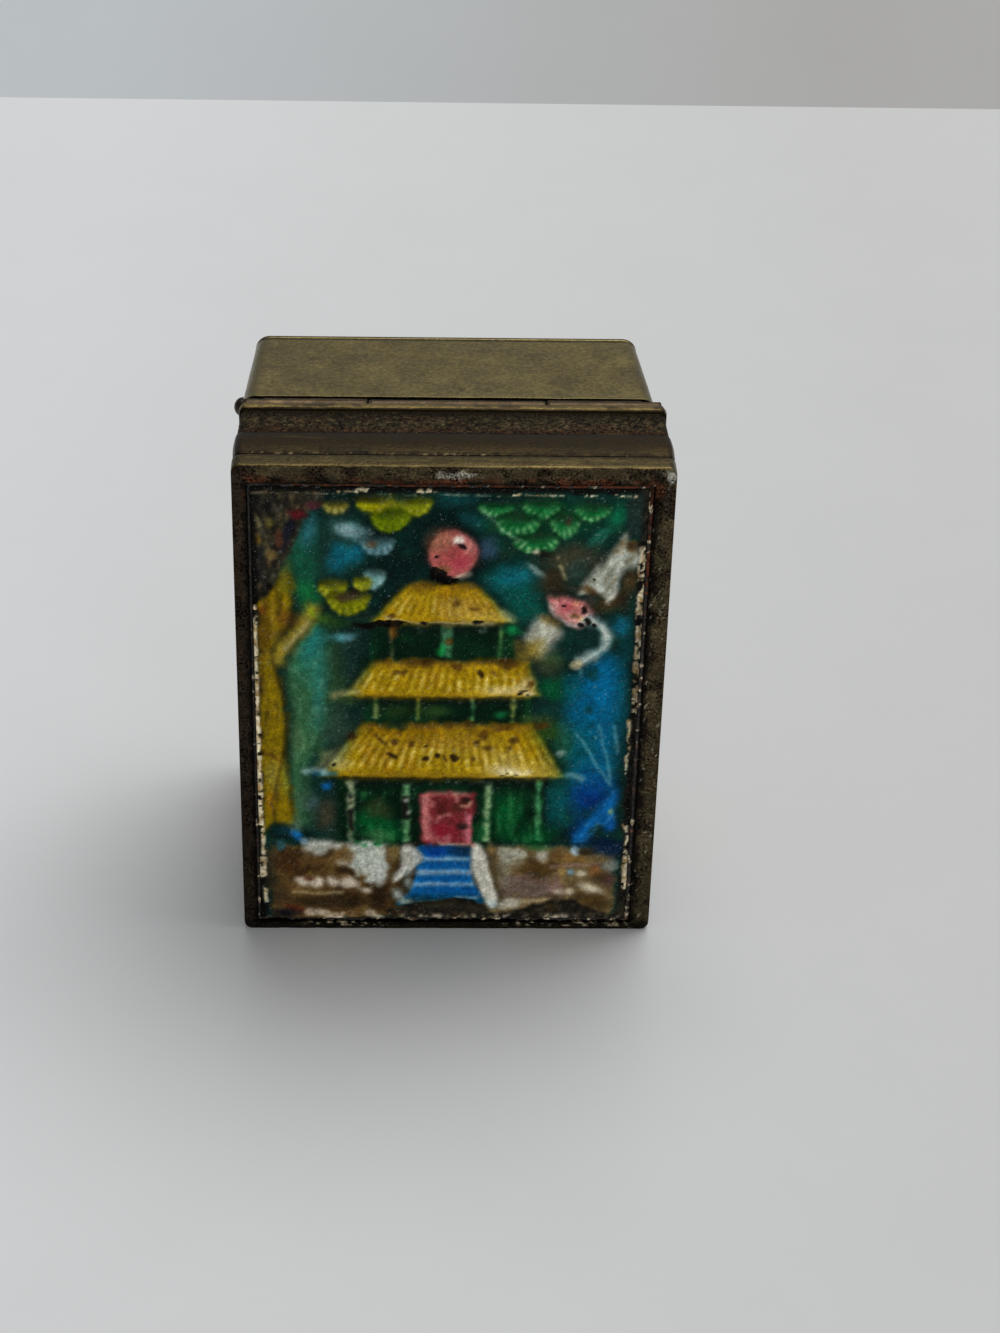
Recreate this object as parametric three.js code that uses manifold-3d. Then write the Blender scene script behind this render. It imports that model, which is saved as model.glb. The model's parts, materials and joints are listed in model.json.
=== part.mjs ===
// A small hinged brass snuff box with a moulded lid and a repousse enamelled plaque.
// The box is drawn lying on its base plate: x to the right, y from the front edge to the hinge,
// z from the base up to the lid's face. The last group stands it on its front edge, lid face forward.
import * as THREE from 'three';
import { mergeVertices } from 'three/addons/utils/BufferGeometryUtils.js';
import Module from 'manifold-3d';

const wasm = await Module();
wasm.setup();

// Overall sizes in millimetres
const LID_WIDTH = 38;
const LID_LENGTH = 50;
const BOX_DEPTH = 27;
const LID_DEPTH = 11.6;
const JOINT_GAP = 0.1;

// Body: a folded strip wall on a base plate, drawn in a little towards the base
const BODY_INSET = 0.8;
const BODY_WALL = 1.0;
const BODY_CORNER_R = 1.3;
const BODY_DRAFT = 0.6;
const BASE_T = 0.9;
const BASE_EDGE_R = 0.6;

// Closing lip: a strip inside the wall that rises into the lid on three sides
const LIP_T = 0.6;
const LIP_RISE = 1.5;
const LIP_SEAT = 3.0;
const LIP_END_CLEAR = 1.0;
const SOLDER_FILM = 0.02;

// Lid: a flat face frame on four mitred mouldings
const FRAME_T = 1.9;
const FRAME_EDGE_R = 0.35;
const FRAME_CORNER_R = 0.3;
const FRAME_HINGE = 1.85;
const FRAME_FRONT = 0.75;
const FRAME_LEFT = 1.3;
const FRAME_RIGHT = 1.9;
const LID_WALL = 1.35;
const LID_PLATE_T = 0.8;
const QUIRK = 0.28;
const QUIRK_RISE = 0.35;
const SMOOTH_BAND = 4.1;
const BAND_LEAD = 0.1;
const BAND_SWELL = 0.08;
const BAND_INSET = 0.14;
const COVE_DEPTH = 0.3;
const COVE_BOW = 0.12;
const COVE_STEP = 0.12;
const RIM_T = 1.2;
const RIM_INSET = 0.45;
const RIM_STEP = 0.1;
const RIM_SWELL = 0.12;
const RIM_EASE = 0.08;

// Plaque, its pitch bed and the copper packing strips
const BORDER_GAP = 0.3;
const POCKET_GAP = 0.05;
const SHIM_T = 0.3;
const SHIM_GAP = 0.12;
const PLAQUE_DROP = 0.35;
const PLAQUE_T = 0.45;
const PITCH_DROP = 0.6;
const SHIM_DROP = 0.25;
const SHIM_RIGHT_LENGTH = 11;
const SHIM_HINGE_START = 3.5;
const RELIEF = 0.75;

// Hinge: three knuckles on one pin
const BARREL_R = 0.75;
const BORE_R = 0.47;
const PIN_R = 0.42;
const BARREL_SINK = 0.05;
const BARREL_END_INSET = 0.1;
const HINGE_CLEAR = 0.15;
const HINGE_GAP = 0.65;
const NOTCH_CLEAR = 0.3;
const KNUCKLE_GAP = 0.1;
const KNUCKLE_LEFT_END = -7.5;
const KNUCKLE_RIGHT_END = 8.3;
const LEAF_T = 0.55;
const LEAF_END_INSET = 1.2;
const HEAD_R = 0.88;
const HEAD_T = 0.8;
const PEEN_T = 0.25;
const PIN_END_CLEAR = 0.05;

// Derived places
const HALF_W = LID_WIDTH / 2;
const FACE_Z = BOX_DEPTH;
const RIM_Z = FACE_Z - LID_DEPTH;
const JOINT_Z = RIM_Z - JOINT_GAP;
const ROUGH_BAND = LID_DEPTH - FRAME_T - SMOOTH_BAND - RIM_T;
const BODY_HALF_W = HALF_W - BODY_INSET;
const BODY_HALF_L = LID_LENGTH / 2 - BODY_INSET;
const MID_Y = LID_LENGTH / 2;
const HINGE_Z = RIM_Z - HINGE_CLEAR - BARREL_R;
const HINGE_Y = LID_LENGTH - RIM_INSET - BARREL_R - BARREL_SINK;
const HINGE_WALL_Z = HINGE_Z - BARREL_R - HINGE_GAP;
const BARREL_HALF = HALF_W - RIM_INSET - BARREL_END_INSET;
const OPEN_LEFT = -HALF_W + FRAME_LEFT;
const OPEN_RIGHT = HALF_W - FRAME_RIGHT;
const OPEN_FRONT = FRAME_FRONT;
const OPEN_HINGE = LID_LENGTH - FRAME_HINGE;
const PLAQUE_LEFT = OPEN_LEFT + BORDER_GAP;
const PLAQUE_RIGHT = OPEN_RIGHT - SHIM_T - SHIM_GAP;
const PLAQUE_FRONT = OPEN_FRONT + BORDER_GAP;
const PLAQUE_HINGE = OPEN_HINGE - SHIM_T - SHIM_GAP;
const PLAQUE_Z = FACE_Z - PLAQUE_DROP;

const patinaBrass = new THREE.MeshStandardMaterial({ color: 0x8a7c54, roughness: 0.45, metalness: 0.9 });
const darkBrass = new THREE.MeshStandardMaterial({ color: 0x5a4d31, roughness: 0.55, metalness: 0.85 });
const wornBrass = new THREE.MeshStandardMaterial({ color: 0x6d5f40, roughness: 0.5, metalness: 0.85 });
const hingeBrass = new THREE.MeshStandardMaterial({ color: 0x7a6350, roughness: 0.5, metalness: 0.85 });
const pinSteel = new THREE.MeshStandardMaterial({ color: 0x2f2c28, roughness: 0.5, metalness: 0.8 });
const pitchBlack = new THREE.MeshStandardMaterial({ color: 0x14110e, roughness: 0.8, metalness: 0 });
const copper = new THREE.MeshStandardMaterial({ color: 0x6b3522, roughness: 0.55, metalness: 0.8 });
const enamel = new THREE.MeshStandardMaterial({ color: 0x1f6f78, roughness: 0.3, metalness: 0.1 });

// Returns a closed solid made from a geometry's positions, with its faces turned outwards.
function solidOf(geometry) {
  const bare = geometry.clone();
  bare.deleteAttribute('normal');
  bare.deleteAttribute('uv');
  const merged = mergeVertices(bare, 1e-5);
  const vertProperties = new Float32Array(merged.attributes.position.array);
  const triVerts = new Uint32Array(merged.index.array);
  if (signedVolume(vertProperties, triVerts) < 0) {
    for (let i = 0; i < triVerts.length; i += 3) {
      const swap = triVerts[i];
      triVerts[i] = triVerts[i + 1];
      triVerts[i + 1] = swap;
    }
  }
  return new wasm.Manifold(new wasm.Mesh({ numProp: 3, vertProperties, triVerts }));
}

function signedVolume(p, t) {
  const a = new THREE.Vector3();
  const b = new THREE.Vector3();
  const c = new THREE.Vector3();
  let volume = 0;
  for (let i = 0; i < t.length; i += 3) {
    a.fromArray(p, 3 * t[i]);
    b.fromArray(p, 3 * t[i + 1]);
    c.fromArray(p, 3 * t[i + 2]);
    volume += a.dot(b.cross(c)) / 6;
  }
  return volume;
}

function geometryOf(solid) {
  const mesh = solid.getMesh();
  const geometry = new THREE.BufferGeometry();
  geometry.setAttribute('position', new THREE.BufferAttribute(new Float32Array(mesh.vertProperties), 3));
  geometry.setIndex(new THREE.BufferAttribute(new Uint32Array(mesh.triVerts), 1));
  geometry.computeVertexNormals();
  return geometry;
}

function joined(solids) {
  return solids.reduce((whole, next) => whole.add(next));
}

// Moves every vertex of a geometry by a rule that takes and changes a Vector3.
function reshape(geometry, rule) {
  const position = geometry.attributes.position;
  const v = new THREE.Vector3();
  for (let i = 0; i < position.count; i += 1) {
    v.fromBufferAttribute(position, i);
    rule(v);
    position.setXYZ(i, v.x, v.y, v.z);
  }
  return geometry;
}

function block(x0, x1, y0, y1, z0, z1) {
  const geometry = new THREE.BoxGeometry(x1 - x0, y1 - y0, z1 - z0);
  return geometry.translate((x0 + x1) / 2, (y0 + y1) / 2, (z0 + z1) / 2);
}

// A rectangle about the origin with round corners.
function roundedOutline(halfW, halfL, r, Kind = THREE.Shape) {
  const outline = new Kind();
  outline.moveTo(-halfW + r, -halfL);
  outline.lineTo(halfW - r, -halfL);
  outline.absarc(halfW - r, -halfL + r, r, -Math.PI / 2, 0);
  outline.lineTo(halfW, halfL - r);
  outline.absarc(halfW - r, halfL - r, r, 0, Math.PI / 2);
  outline.lineTo(-halfW + r, halfL);
  outline.absarc(-halfW + r, halfL - r, r, Math.PI / 2, Math.PI);
  outline.lineTo(-halfW, -halfL + r);
  outline.absarc(-halfW + r, -halfL + r, r, Math.PI, 1.5 * Math.PI);
  return outline;
}

// Pulls the outline in by inset(z) on every side.
function pullIn(geometry, halfW, halfL, inset) {
  return reshape(geometry, (v) => {
    const d = inset(v.z);
    v.x *= 1 - d / halfW;
    v.y *= 1 - d / halfL;
  });
}

function bodyDraft(z) {
  return (BODY_DRAFT * (JOINT_Z - z)) / (JOINT_Z - BASE_T);
}

// Inset of a quarter-round edge of radius r that starts at distance e from the flat.
function roundInset(r, e) {
  if (e >= r) {
    return 0;
  }
  return r - Math.sqrt(r * r - (r - e) * (r - e));
}

function piece(name, geometry, material) {
  const mesh = new THREE.Mesh(geometry, material);
  mesh.name = name;
  return mesh;
}

// Body wall: the folded strip, cut back along the hinge side for the barrel
function makeBodyBand() {
  const outline = roundedOutline(BODY_HALF_W, BODY_HALF_L, BODY_CORNER_R);
  const innerR = Math.max(BODY_CORNER_R - BODY_WALL, 0.3);
  outline.holes.push(roundedOutline(BODY_HALF_W - BODY_WALL, BODY_HALF_L - BODY_WALL, innerR, THREE.Path));
  const wall = new THREE.ExtrudeGeometry(outline, {
    depth: JOINT_Z - BASE_T, bevelEnabled: false, curveSegments: 6,
  });
  wall.translate(0, 0, BASE_T);
  pullIn(wall, BODY_HALF_W, BODY_HALF_L, bodyDraft);
  wall.translate(0, MID_Y, 0);
  const notchY = HINGE_Y - BARREL_R - NOTCH_CLEAR;
  const notch = block(-LID_WIDTH, LID_WIDTH, notchY, LID_LENGTH + 5, HINGE_WALL_Z, JOINT_Z + 5);
  return geometryOf(solidOf(wall).subtract(solidOf(notch)));
}

// Base plate: the same outline as the wall's lower end, with its outer edge rounded over
function makeBasePlate() {
  const outline = roundedOutline(BODY_HALF_W, BODY_HALF_L, BODY_CORNER_R);
  const plate = new THREE.ExtrudeGeometry(outline, {
    depth: BASE_T, steps: 5, bevelEnabled: false, curveSegments: 6,
  });
  const edge = Math.min(BASE_EDGE_R, BASE_T);
  pullIn(plate, BODY_HALF_W, BODY_HALF_L, (z) => BODY_DRAFT + roundInset(edge, z));
  plate.translate(0, MID_Y, 0);
  return geometryOf(solidOf(plate));
}

// Closing lip: front, left and right sides, stopping short of the hinge barrel
function makeClosingLip() {
  const outer = BODY_WALL + SOLDER_FILM;
  const inner = outer + LIP_T;
  const cornerR = Math.max(BODY_CORNER_R - outer, 0.28);
  const outline = roundedOutline(BODY_HALF_W - outer, BODY_HALF_L - outer, cornerR);
  outline.holes.push(roundedOutline(BODY_HALF_W - inner, BODY_HALF_L - inner, 0.2, THREE.Path));
  const ring = new THREE.ExtrudeGeometry(outline, {
    depth: LIP_RISE + LIP_SEAT, bevelEnabled: false, curveSegments: 6,
  });
  ring.translate(0, 0, JOINT_Z - LIP_SEAT);
  pullIn(ring, BODY_HALF_W, BODY_HALF_L, bodyDraft);
  ring.translate(0, MID_Y, 0);
  const endY = HINGE_Y - BARREL_R - LIP_END_CLEAR;
  const away = block(-LID_WIDTH, LID_WIDTH, endY, LID_LENGTH + 5, 0, BOX_DEPTH);
  return geometryOf(solidOf(ring).subtract(solidOf(away)));
}

// Section of a lid moulding: s is the depth behind the face, d the inset from the lid's outline
function mouldingSection() {
  const bandEnd = FRAME_T + SMOOTH_BAND;
  const coveEnd = bandEnd + ROUGH_BAND;
  const coveFoot = BAND_INSET + COVE_DEPTH * 0.65;
  const rimLead = RIM_INSET + RIM_EASE / 4;
  const section = new THREE.Shape();
  section.moveTo(QUIRK, -FRAME_T);
  section.quadraticCurveTo(QUIRK, -FRAME_T - QUIRK, BAND_LEAD, -FRAME_T - QUIRK_RISE);
  section.quadraticCurveTo(-BAND_SWELL, -(FRAME_T + bandEnd) / 2, BAND_INSET, -bandEnd);
  section.lineTo(coveFoot, -bandEnd - COVE_STEP);
  section.quadraticCurveTo(
    BAND_INSET + COVE_DEPTH + COVE_BOW, -(bandEnd + coveEnd) / 2,
    BAND_INSET + COVE_DEPTH, -coveEnd,
  );
  section.lineTo(rimLead, -coveEnd - RIM_STEP);
  section.quadraticCurveTo(
    RIM_INSET - RIM_SWELL, -(coveEnd + LID_DEPTH) / 2,
    RIM_INSET + RIM_EASE, -LID_DEPTH,
  );
  section.lineTo(LID_WALL, -LID_DEPTH);
  section.lineTo(LID_WALL, -FRAME_T);
  section.lineTo(QUIRK, -FRAME_T);
  return section;
}

// A straight moulding of the given half length, mitred at both ends
function makeMoulding(halfLength, place) {
  const strip = new THREE.ExtrudeGeometry(mouldingSection(), {
    depth: 1, bevelEnabled: false, curveSegments: 5,
  });
  reshape(strip, (v) => {
    const d = v.x;
    const along = (v.z > 0.5 ? 1 : -1) * (halfLength - d);
    place(v, d, along, FACE_Z + v.y);
  });
  return geometryOf(solidOf(strip));
}

function hingeSide(v, d, along, z) {
  v.set(along, LID_LENGTH - d, z);
}

function frontSide(v, d, along, z) {
  v.set(along, d, z);
}

function leftSide(v, d, along, z) {
  v.set(-HALF_W + d, MID_Y + along, z);
}

function rightSide(v, d, along, z) {
  v.set(HALF_W - d, MID_Y + along, z);
}

// Face frame: a flat plate with a softened outer edge and a rectangular opening
function makeFaceFrame() {
  const outline = roundedOutline(HALF_W, MID_Y, FRAME_CORNER_R);
  const plate = new THREE.ExtrudeGeometry(outline, {
    depth: FRAME_T, steps: 6, bevelEnabled: false, curveSegments: 3,
  });
  plate.translate(0, 0, FACE_Z - FRAME_T);
  pullIn(plate, HALF_W, MID_Y, (z) => roundInset(FRAME_EDGE_R, FACE_Z - z) * 0.8);
  plate.translate(0, MID_Y, 0);
  const opening = block(OPEN_LEFT, OPEN_RIGHT, OPEN_FRONT, OPEN_HINGE, FACE_Z - FRAME_T - 1, FACE_Z + 1);
  return geometryOf(solidOf(plate).subtract(solidOf(opening)));
}

function makeLidPlate() {
  const x = HALF_W - LID_WALL;
  const top = FACE_Z - FRAME_T;
  return block(-x, x, LID_WALL, LID_LENGTH - LID_WALL, top - LID_PLATE_T, top);
}

// Pitch bed: fills the frame's opening under the plaque and stands up along its left and front edges
function makePitchBed() {
  const low = FACE_Z - FRAME_T;
  const seat = PLAQUE_Z - PLAQUE_T;
  const top = FACE_Z - PITCH_DROP;
  const bed = block(OPEN_LEFT, OPEN_RIGHT, OPEN_FRONT, OPEN_HINGE, low, top);
  const x0 = PLAQUE_LEFT - POCKET_GAP;
  const y0 = PLAQUE_FRONT - POCKET_GAP;
  const pocket = block(x0, OPEN_RIGHT + 1, y0, OPEN_HINGE + 1, seat, top + 1);
  return geometryOf(solidOf(bed).subtract(solidOf(pocket)));
}

function makeHingeShim() {
  const low = PLAQUE_Z - PLAQUE_T;
  const x0 = OPEN_LEFT + SHIM_HINGE_START;
  const x1 = OPEN_RIGHT - SHIM_T - POCKET_GAP;
  return block(x0, x1, OPEN_HINGE - SHIM_T, OPEN_HINGE, low, FACE_Z - SHIM_DROP);
}

function makeRightShim() {
  const low = PLAQUE_Z - PLAQUE_T;
  const y0 = OPEN_HINGE - SHIM_RIGHT_LENGTH;
  return block(OPEN_RIGHT - SHIM_T, OPEN_RIGHT, y0, OPEN_HINGE, low, FACE_Z - SHIM_DROP);
}

// Hinge parts lie along x
function alongX(geometry, x) {
  return geometry.rotateZ(-Math.PI / 2).translate(x, HINGE_Y, HINGE_Z);
}

function tube(x0, x1, radius) {
  return alongX(new THREE.CylinderGeometry(radius, radius, x1 - x0, 24), (x0 + x1) / 2);
}

function makeKnuckle(x0, x1, leaf) {
  const bore = solidOf(tube(x0 - 1, x1 + 1, BORE_R));
  return geometryOf(solidOf(tube(x0, x1, BARREL_R)).add(solidOf(leaf)).subtract(bore));
}

// A leaf on the body side reaches the cut-back edge of the wall
function makeBodyKnuckle(x0, x1) {
  const inset = BODY_INSET + BODY_WALL / 2 + bodyDraft(HINGE_WALL_Z);
  const y = LID_LENGTH - inset;
  const in0 = Math.max(x0, -BODY_HALF_W + LEAF_END_INSET);
  const in1 = Math.min(x1, BODY_HALF_W - LEAF_END_INSET);
  return makeKnuckle(x0, x1, block(in0, in1, y - LEAF_T / 2, y + LEAF_T / 2, HINGE_WALL_Z, HINGE_Z));
}

// A leaf on the lid side reaches the back edge of the hinge moulding
function makeLidKnuckle(x0, x1) {
  const y0 = LID_LENGTH - LID_WALL + KNUCKLE_GAP;
  return makeKnuckle(x0, x1, block(x0 + KNUCKLE_GAP, x1 - KNUCKLE_GAP, y0, y0 + LEAF_T, HINGE_Z, RIM_Z));
}

// Pin: a domed head on the left end, a low peened dome on the right
function makeHingePin() {
  const left = -BARREL_HALF - PIN_END_CLEAR;
  const right = BARREL_HALF + PIN_END_CLEAR;
  const profile = [];
  const rings = 5;
  for (let i = 0; i <= rings; i += 1) {
    const a = (i / rings) * (Math.PI / 2);
    profile.push(new THREE.Vector2(HEAD_R * Math.sin(a), left - HEAD_T * Math.cos(a)));
  }
  profile.push(new THREE.Vector2(PIN_R, left));
  for (let i = 0; i <= rings; i += 1) {
    const a = (i / rings) * (Math.PI / 2);
    profile.push(new THREE.Vector2(PIN_R * Math.cos(a), right + PEEN_T * Math.sin(a)));
  }
  profile[0].x = 0;
  profile[profile.length - 1].x = 0;
  const pin = new THREE.LatheGeometry(profile, 20);
  return geometryOf(solidOf(pin.rotateZ(-Math.PI / 2).translate(0, HINGE_Y, HINGE_Z)));
}

// The plaque's picture is drawn in millimetres from the front left corner of a sheet of this size, with
// its tallest forms this high, and then fitted to the plaque and its relief
const ART_W = 34.08;
const ART_L = 46.68;
const ART_RELIEF = 0.75;
const ART_ROOT = -0.25;
const KX = (PLAQUE_RIGHT - PLAQUE_LEFT) / ART_W;
const KY = (PLAQUE_HINGE - PLAQUE_FRONT) / ART_L;
const KZ = RELIEF / ART_RELIEF;

// A roof of half-round tile ribs: flared to the eaves, lifted at the tips, swelling outwards
function roof({ x, top, eave, topHalf, eaveHalf, ribs, rise }) {
  const section = new THREE.Shape();
  const perRib = 3;
  section.moveTo(-1, -1);
  section.lineTo(1, -1);
  for (let i = 0; i <= ribs * perRib; i += 1) {
    const u = 1 - (2 * i) / (ribs * perRib);
    const crest = Math.abs(Math.sin((Math.PI * i) / perRib));
    section.lineTo(u, 0.72 + 0.28 * crest);
  }
  const tiles = new THREE.ExtrudeGeometry(section, { depth: 1, steps: 5, bevelEnabled: false });
  return reshape(tiles, (v) => {
    const u = v.x;
    const t = v.z;
    const half = topHalf + (eaveHalf - topHalf) * (0.45 * t + 0.55 * t * t);
    const shoulder = 1 - 0.45 * u * u * u * u;
    const height = rise * (0.45 + 0.55 * t) * shoulder;
    const tip = 0.5 * Math.pow(Math.abs(u), 3) * t;
    const z = v.y < 0 ? ART_ROOT : v.y * height;
    v.set(x + u * half, top + (eave - top) * t + tip, z);
  });
}

function dome({ x, y, rx, ry, rise, turn = 0, sides = 12 }) {
  const ball = new THREE.SphereGeometry(1, sides, 6);
  ball.rotateX(Math.PI / 2);
  return ball.scale(rx, ry, rise).rotateZ(turn).translate(x, y, 0);
}

// A fan of needles or cloud: a shallow shell with its lower edge round
function scallop(x, y, r, rise = 0.42) {
  return dome({ x, y, rx: r, ry: r * 0.78, rise });
}

function slab(x0, x1, y0, y1, rise) {
  return block(x0, x1, y0, y1, ART_ROOT, rise);
}

function post(x, y0, y1, r) {
  const shaft = new THREE.CylinderGeometry(r, r, y1 - y0, 10);
  return shaft.scale(1, 1, 0.8).translate(x, (y0 + y1) / 2, 0.12);
}

// Rows of fans in an inverted triangle, as pine needles and clouds are drawn
function cluster({ x, y, pitch, drop, rows, r }) {
  const forms = [];
  for (let row = 0; row < rows; row += 1) {
    const count = rows - row;
    for (let k = 0; k < count; k += 1) {
      forms.push(scallop(x + (k - (count - 1) / 2) * pitch, y - row * drop, r));
    }
  }
  return forms;
}

// A flat form with its upper edge eased
function cushion(outline, rise) {
  const ease = rise * 0.5;
  return new THREE.ExtrudeGeometry(outline, {
    depth: rise - ease, bevelEnabled: true, bevelThickness: ease, bevelSize: ease / 2, bevelOffset: -ease / 2,
    bevelSegments: 2, curveSegments: 6,
  });
}

function pagoda() {
  const forms = [];
  forms.push(roof({ x: 16.2, top: 37.6, eave: 33.0, topHalf: 2.3, eaveHalf: 6.8, ribs: 14, rise: 0.62 }));
  forms.push(roof({ x: 16.4, top: 29.5, eave: 25.6, topHalf: 5.8, eaveHalf: 8.8, ribs: 18, rise: 0.68 }));
  forms.push(roof({ x: 16.4, top: 22.6, eave: 16.7, topHalf: 7.2, eaveHalf: 11.4, ribs: 24, rise: ART_RELIEF }));
  forms.push(dome({ x: 17.4, y: 40.8, rx: 2.2, ry: 2.3, rise: ART_RELIEF, sides: 20 }));
  forms.push(slab(10.6, 21.8, 29.0, 33.6, 0.16));
  forms.push(slab(9.9, 23.6, 22.2, 26.2, 0.16));
  forms.push(slab(7.6, 25.8, 8.8, 17.2, 0.16));
  [12.2, 16.8, 21.4].forEach((x) => forms.push(post(x, 29.0, 33.4, 0.4)));
  [10.6, 14.3, 19.3, 22.9].forEach((x) => forms.push(post(x, 22.2, 26.0, 0.36)));
  [8.5, 13.6, 20.8, 25.6].forEach((x) => forms.push(post(x, 8.8, 17.0, 0.42)));
  forms.push(slab(14.8, 19.6, 8.7, 14.6, 0.34));
  return forms;
}

// Stairs between two swept balustrades, with coursed masonry on both sides
function terrace() {
  const forms = [];
  const treads = 6;
  const treadDepth = 7 / treads;
  for (let i = 0; i < treads; i += 1) {
    const spread = 0.28 * i;
    const y1 = 8.8 - treadDepth * i;
    forms.push(slab(14.6 - spread, 19.4 + spread * 0.5, y1 - treadDepth, y1, 0.22 + 0.06 * i));
  }
  const courses = 3;
  for (let row = 0; row < courses; row += 1) {
    const y = 8.6 - 2.4 * row;
    const shift = row % 2 ? 0.8 : 0;
    for (let k = 0; k < 4; k += 1) {
      const left = 1.4 + shift + 2.6 * k;
      const right = 22.2 + shift + 2.5 * k;
      forms.push(slab(left, left + 2.3, y - 2.1, y, 0.26 + 0.05 * ((row + k) % 3)));
      forms.push(slab(right, right + 2.2, y - 2.1, y, 0.26 + 0.05 * ((row + k) % 2)));
    }
  }
  const leftRail = new THREE.Shape();
  leftRail.moveTo(13.0, 8.7);
  leftRail.lineTo(14.4, 8.4);
  leftRail.quadraticCurveTo(14.1, 6.0, 12.9, 4.4);
  leftRail.lineTo(12.1, 4.8);
  leftRail.quadraticCurveTo(13.1, 6.4, 13.0, 8.7);
  forms.push(cushion(leftRail, 0.5));
  const rightRail = new THREE.Shape();
  rightRail.moveTo(19.7, 9.0);
  rightRail.quadraticCurveTo(21.0, 8.2, 21.4, 5.0);
  rightRail.quadraticCurveTo(21.7, 3.0, 22.6, 1.6);
  rightRail.lineTo(20.9, 1.3);
  rightRail.quadraticCurveTo(20.0, 4.0, 19.7, 9.0);
  forms.push(cushion(rightRail, 0.5));
  return forms;
}

// Clouds and pine needles in fans, an old trunk on the left and a rock on the right
function garden() {
  const forms = [
    scallop(7.3, 44.9, 1.1),
    ...cluster({ x: 12.5, y: 45.2, pitch: 2.15, drop: 1.2, rows: 3, r: 1.3 }),
    scallop(8.4, 42.5, 1.5),
    scallop(10.8, 41.1, 1.6),
    scallop(8.0, 40.0, 1.4),
    scallop(9.8, 37.3, 1.1),
    scallop(6.9, 36.7, 1.5),
    scallop(8.5, 34.9, 1.9),
    ...cluster({ x: 24.9, y: 45.0, pitch: 4.05, drop: 1.85, rows: 3, r: 1.55 }),
  ];
  const trunk = new THREE.Shape();
  trunk.moveTo(0.6, 34.8);
  trunk.bezierCurveTo(2.8, 33.2, 0.8, 29.0, 2.2, 25.6);
  trunk.bezierCurveTo(2.9, 21.0, 0.9, 17.0, 3.2, 12.4);
  trunk.lineTo(0.6, 12.0);
  trunk.lineTo(0.6, 34.8);
  forms.push(cushion(trunk, 0.4));
  const branch = new THREE.Shape();
  branch.moveTo(1.9, 29.8);
  branch.quadraticCurveTo(2.6, 33.4, 5.8, 35.0);
  branch.lineTo(6.1, 34.3);
  branch.quadraticCurveTo(3.6, 32.6, 2.8, 29.4);
  branch.lineTo(1.9, 29.8);
  forms.push(cushion(branch, 0.34));
  const rock = new THREE.Shape();
  rock.moveTo(29.2, 9.4);
  rock.quadraticCurveTo(29.8, 13.6, 31.8, 15.8);
  rock.quadraticCurveTo(33.2, 13.0, 32.0, 9.0);
  rock.lineTo(29.2, 9.4);
  forms.push(cushion(rock, 0.4));
  return forms;
}

// A flying crane: body, raised wing, trailing wing and a curved neck
function crane() {
  const forms = [dome({ x: 27.6, y: 34.8, rx: 2.5, ry: 1.35, rise: 0.6, turn: -0.5 })];
  const wing = new THREE.Shape();
  wing.moveTo(28.6, 36.0);
  wing.quadraticCurveTo(29.8, 39.6, 32.6, 42.2);
  wing.quadraticCurveTo(33.8, 40.6, 32.4, 38.2);
  wing.quadraticCurveTo(31.6, 36.2, 30.6, 35.6);
  wing.lineTo(28.6, 36.0);
  forms.push(cushion(wing, 0.46));
  const trail = new THREE.Shape();
  trail.moveTo(27.2, 33.8);
  trail.quadraticCurveTo(24.8, 33.8, 23.6, 31.6);
  trail.quadraticCurveTo(24.2, 29.8, 25.6, 30.6);
  trail.quadraticCurveTo(27.2, 31.8, 27.2, 33.8);
  forms.push(cushion(trail, 0.46));
  const neck = new THREE.CubicBezierCurve3(
    new THREE.Vector3(29.0, 33.9, 0.12), new THREE.Vector3(31.8, 33.2, 0.12),
    new THREE.Vector3(31.4, 29.6, 0.12), new THREE.Vector3(28.8, 28.7, 0.12),
  );
  const round = new THREE.Shape().absarc(0, 0, 0.42, 0, 2 * Math.PI);
  forms.push(new THREE.ExtrudeGeometry(round, { extrudePath: neck, steps: 10, curveSegments: 4 }));
  return forms;
}

// Plaque: the sheet with every raised form joined to it, trimmed to the sheet's outline
function makePlaque() {
  const edges = [PLAQUE_LEFT, PLAQUE_RIGHT, PLAQUE_FRONT, PLAQUE_HINGE];
  const sheet = solidOf(block(...edges, PLAQUE_Z - PLAQUE_T, PLAQUE_Z));
  const over = solidOf(block(...edges, PLAQUE_Z - 0.2, FACE_Z + 5));
  const forms = [...garden(), ...crane(), ...terrace(), ...pagoda()];
  const raised = joined(forms.map((form) => {
    form.scale(KX, KY, KZ).translate(PLAQUE_LEFT, PLAQUE_FRONT, PLAQUE_Z);
    return solidOf(form);
  }));
  return geometryOf(sheet.add(raised.intersect(over)));
}

const lid = new THREE.Group();
lid.add(piece('face_frame', makeFaceFrame(), wornBrass));
lid.add(piece('lid_moulding_hinge', makeMoulding(HALF_W, hingeSide), darkBrass));
lid.add(piece('lid_moulding_front', makeMoulding(HALF_W, frontSide), darkBrass));
lid.add(piece('lid_moulding_left', makeMoulding(MID_Y, leftSide), darkBrass));
lid.add(piece('lid_moulding_right', makeMoulding(MID_Y, rightSide), darkBrass));
lid.add(piece('lid_plate', makeLidPlate(), darkBrass));
lid.add(piece('pitch_bed', makePitchBed(), pitchBlack));
lid.add(piece('enamel_plaque', makePlaque(), enamel));
lid.add(piece('copper_shim_hinge', makeHingeShim(), copper));
lid.add(piece('copper_shim_right', makeRightShim(), copper));
lid.add(piece(
  'hinge_knuckle_centre',
  makeLidKnuckle(KNUCKLE_LEFT_END + KNUCKLE_GAP / 2, KNUCKLE_RIGHT_END - KNUCKLE_GAP / 2),
  hingeBrass,
));

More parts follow.
